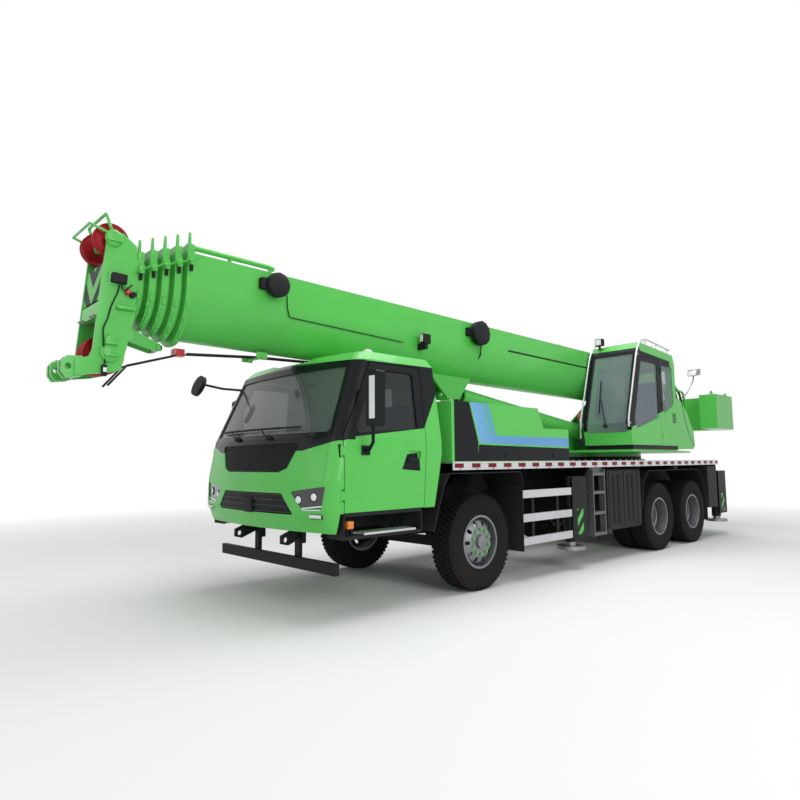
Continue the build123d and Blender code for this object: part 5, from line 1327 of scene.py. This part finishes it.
class Studio:
    """Camera at the photograph's angle, soft lamps and a pale floor."""

    eye = (5.53724628, 5.69675074, 1.45371438)
    yaw = 0.812504339
    pitch = 0.100893054
    roll = -0.00728405296
    focal_pixels = 611.254843
    picture = 800
    sensor = 36.0
    fill = 0.36
    aim = (0.0, 0.0, 1.6)
    floor_radius = 60.0
    floor_drop = 0.001
    fade_start, fade_length = 5.0, 9.0
    seen_rays = ("Is Camera Ray", "Is Glossy Ray", "Is Transmission Ray")
    white = (1.0, 1.0, 1.0, 1.0)
    floor_colour = (0.86, 0.86, 0.86, 1.0)
    lamp_table = (
        ("top", (0.5, 1.0, 10.5), 9.0, 760.0), ("side", (5.5, 11.0, 5.5), 7.0, 520.0),
        ("front", (12.0, -1.0, 4.5), 7.0, 130.0), ("back", (-9.0, -9.0, 7.0), 8.0, 220.0))

    def camera(self) -> None:
        """Puts the camera where the photograph was taken from."""
        level = -math.cos(self.pitch)
        forward = Vector((math.cos(self.yaw) * level, math.sin(self.yaw) * level, math.sin(self.pitch)))
        right = forward.cross(Vector((0, 0, 1))).normalized()
        up = right.cross(forward)
        right_now = right * math.cos(self.roll) + up * math.sin(self.roll)
        up_now = up * math.cos(self.roll) - right * math.sin(self.roll)
        data = bpy.data.cameras.new("camera")
        data.sensor_width = self.sensor
        data.lens = self.sensor * self.focal_pixels / self.picture
        data.clip_start, data.clip_end = 0.1, 200.0
        camera = bpy.data.objects.new("camera", data)
        bpy.context.scene.collection.objects.link(camera)
        turn = Matrix((right_now, up_now, -forward)).transposed().to_4x4()
        camera.matrix_world = Matrix.Translation(at(*self.eye)) @ turn
        bpy.context.scene.camera = camera

    def lamps(self) -> None:
        """Soft boxes above and beside the crane."""
        target = Vector(self.aim)
        for name, spot, size, power in self.lamp_table:
            data = bpy.data.lights.new(name, "AREA")
            data.shape = "DISK"
            data.size = size
            data.energy = power
            lamp = bpy.data.objects.new(name, data)
            bpy.context.scene.collection.objects.link(lamp)
            lamp.location = spot
            lamp.rotation_mode = "QUATERNION"
            lamp.rotation_quaternion = (target - Vector(spot)).to_track_quat("-Z", "Y")

    def surroundings(self) -> None:
        """White surroundings for the eye, softer light for the object, and the floor."""
        world = bpy.data.worlds.new("studio")
        bpy.context.scene.world = world
        world.use_nodes = True
        tree = world.node_tree
        back = tree.nodes["Background"]
        path = tree.nodes.new("ShaderNodeLightPath")
        seen = path.outputs[self.seen_rays[0]]
        for other in self.seen_rays[1:]:
            more = tree.nodes.new("ShaderNodeMath")
            more.operation = "MAXIMUM"
            tree.links.new(seen, more.inputs[0])
            tree.links.new(path.outputs[other], more.inputs[1])
            seen = more.outputs[0]
        level = tree.nodes.new("ShaderNodeMapRange")
        level.inputs["To Min"].default_value = self.fill
        level.inputs["To Max"].default_value = 1.0
        tree.links.new(seen, level.inputs["Value"])
        tree.links.new(level.outputs[0], back.inputs["Strength"])
        back.inputs["Color"].default_value = self.white
        bpy.context.scene.view_settings.view_transform = "Standard"

        mesh = bmesh.new()
        bmesh.ops.create_circle(mesh, cap_ends=True, radius=self.floor_radius, segments=96)
        data = bpy.data.meshes.new("floor")
        mesh.to_mesh(data)
        mesh.free()
        floor = bpy.data.objects.new("floor", data)
        bpy.context.scene.collection.objects.link(floor)
        floor.location.z = -self.floor_drop
        shader = Shader("floor_pale")
        path = shader.node("ShaderNodeLightPath", output=self.seen_rays[0])
        for other in self.seen_rays[1:]:
            path = path.either(shader.node("ShaderNodeLightPath", output=other))
        lit = shader.node("ShaderNodeBsdfDiffuse", values={"Color": self.floor_colour})
        white = shader.node("ShaderNodeEmission", values={"Color": self.white, "Strength": 1.0})
        far = (shader.x + FRONT_AXLE_X) * (shader.x + FRONT_AXLE_X) + shader.y * shader.y
        fade = ((far.root() - self.fade_start) / self.fade_length).either(0.0).least(1.0)
        surface = shader.node("ShaderNodeMixShader", values={0: path * fade, 1: lit, 2: white})
        shader.close(surface)
        data.materials.append(shader.material)

    def build(self) -> None:
        """Sets up the studio."""
        self.camera()
        self.lamps()
        self.surroundings()


NODE_PAINTS: dict[Paint, tuple[str, ...]] = {
    Paint.CAB: ("cab_shell",), Paint.FRONT: ("front_panels",), Paint.DOOR: ("door_left", "door_right"),
    Paint.PLASTIC: ("cab_fittings", "mudguards"), Paint.SCREEN: ("cab_glass",), Paint.TRIM: ("cab_interior",),
    Paint.GRILLE: ("front_grilles",), Paint.LAMP: ("headlamps",), Paint.DECK: ("deck",),
    Paint.BLACK: ("front_bar_and_tow_eyes", "chassis_frame", "front_axle", "rear_axles", "tie_rod"),
    Paint.HOOD: ("hood",), Paint.IRON: ("engine",), Paint.GUARD: ("guards_and_ladders",),
    Paint.TANK: ("tanks_and_boxes",), Paint.GREEN: ("turntable", "luff_barrel"),
    Paint.WEIGHT: ("counterweight",), Paint.WINCH: ("winches",),
    Paint.OPERATOR: ("operator_cab", "operator_door"), Paint.CLOTH: ("operator_seat",),
    Paint.RED: ("head_sheaves",), Paint.CHROME: ("luff_rod",), Paint.BOOM: ("boom_base",),
    Paint.CLEAR: ("operator_glass", "operator_door_glass"),
}
GROUP_PAINTS: tuple[tuple[str, Paint], ...] = (
    ("_glass", Paint.GLASS), ("rim_front", Paint.RIM_FRONT), ("rim_", Paint.RIM_REAR),
    ("tyre_front", Paint.TYRE_FRONT), ("tyre_", Paint.TYRE_REAR), ("outrigger_", Paint.OUTRIGGER),
    ("jack_", Paint.STEEL), ("knuckle_", Paint.BLACK), ("boom_section", Paint.GREEN),
)


def dress_nodes() -> None:
    """Gives every CAD node its finish."""
    single = {name: paint for paint, names in NODE_PAINTS.items() for name in names}
    for name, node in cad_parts.items():
        paint = single.get(name) or next(choice for part, choice in GROUP_PAINTS if part in name)
        node.data.materials.clear()
        node.data.materials.append(Palette.get(paint))
        LOG.info("%s takes %s", name, paint.value.name)


def main() -> None:
    """Builds the studio and every sub-assembly in order."""
    logging.basicConfig(level=logging.INFO, format="%(name)s: %(message)s")
    Studio().build()
    dress_nodes()
    for part in (Wheels(), DriverCab(), Boom(), Superstructure(), Carrier()):
        part.build()
        LOG.info("%s done", type(part).__name__)


if __name__ == "__main__":
    main()
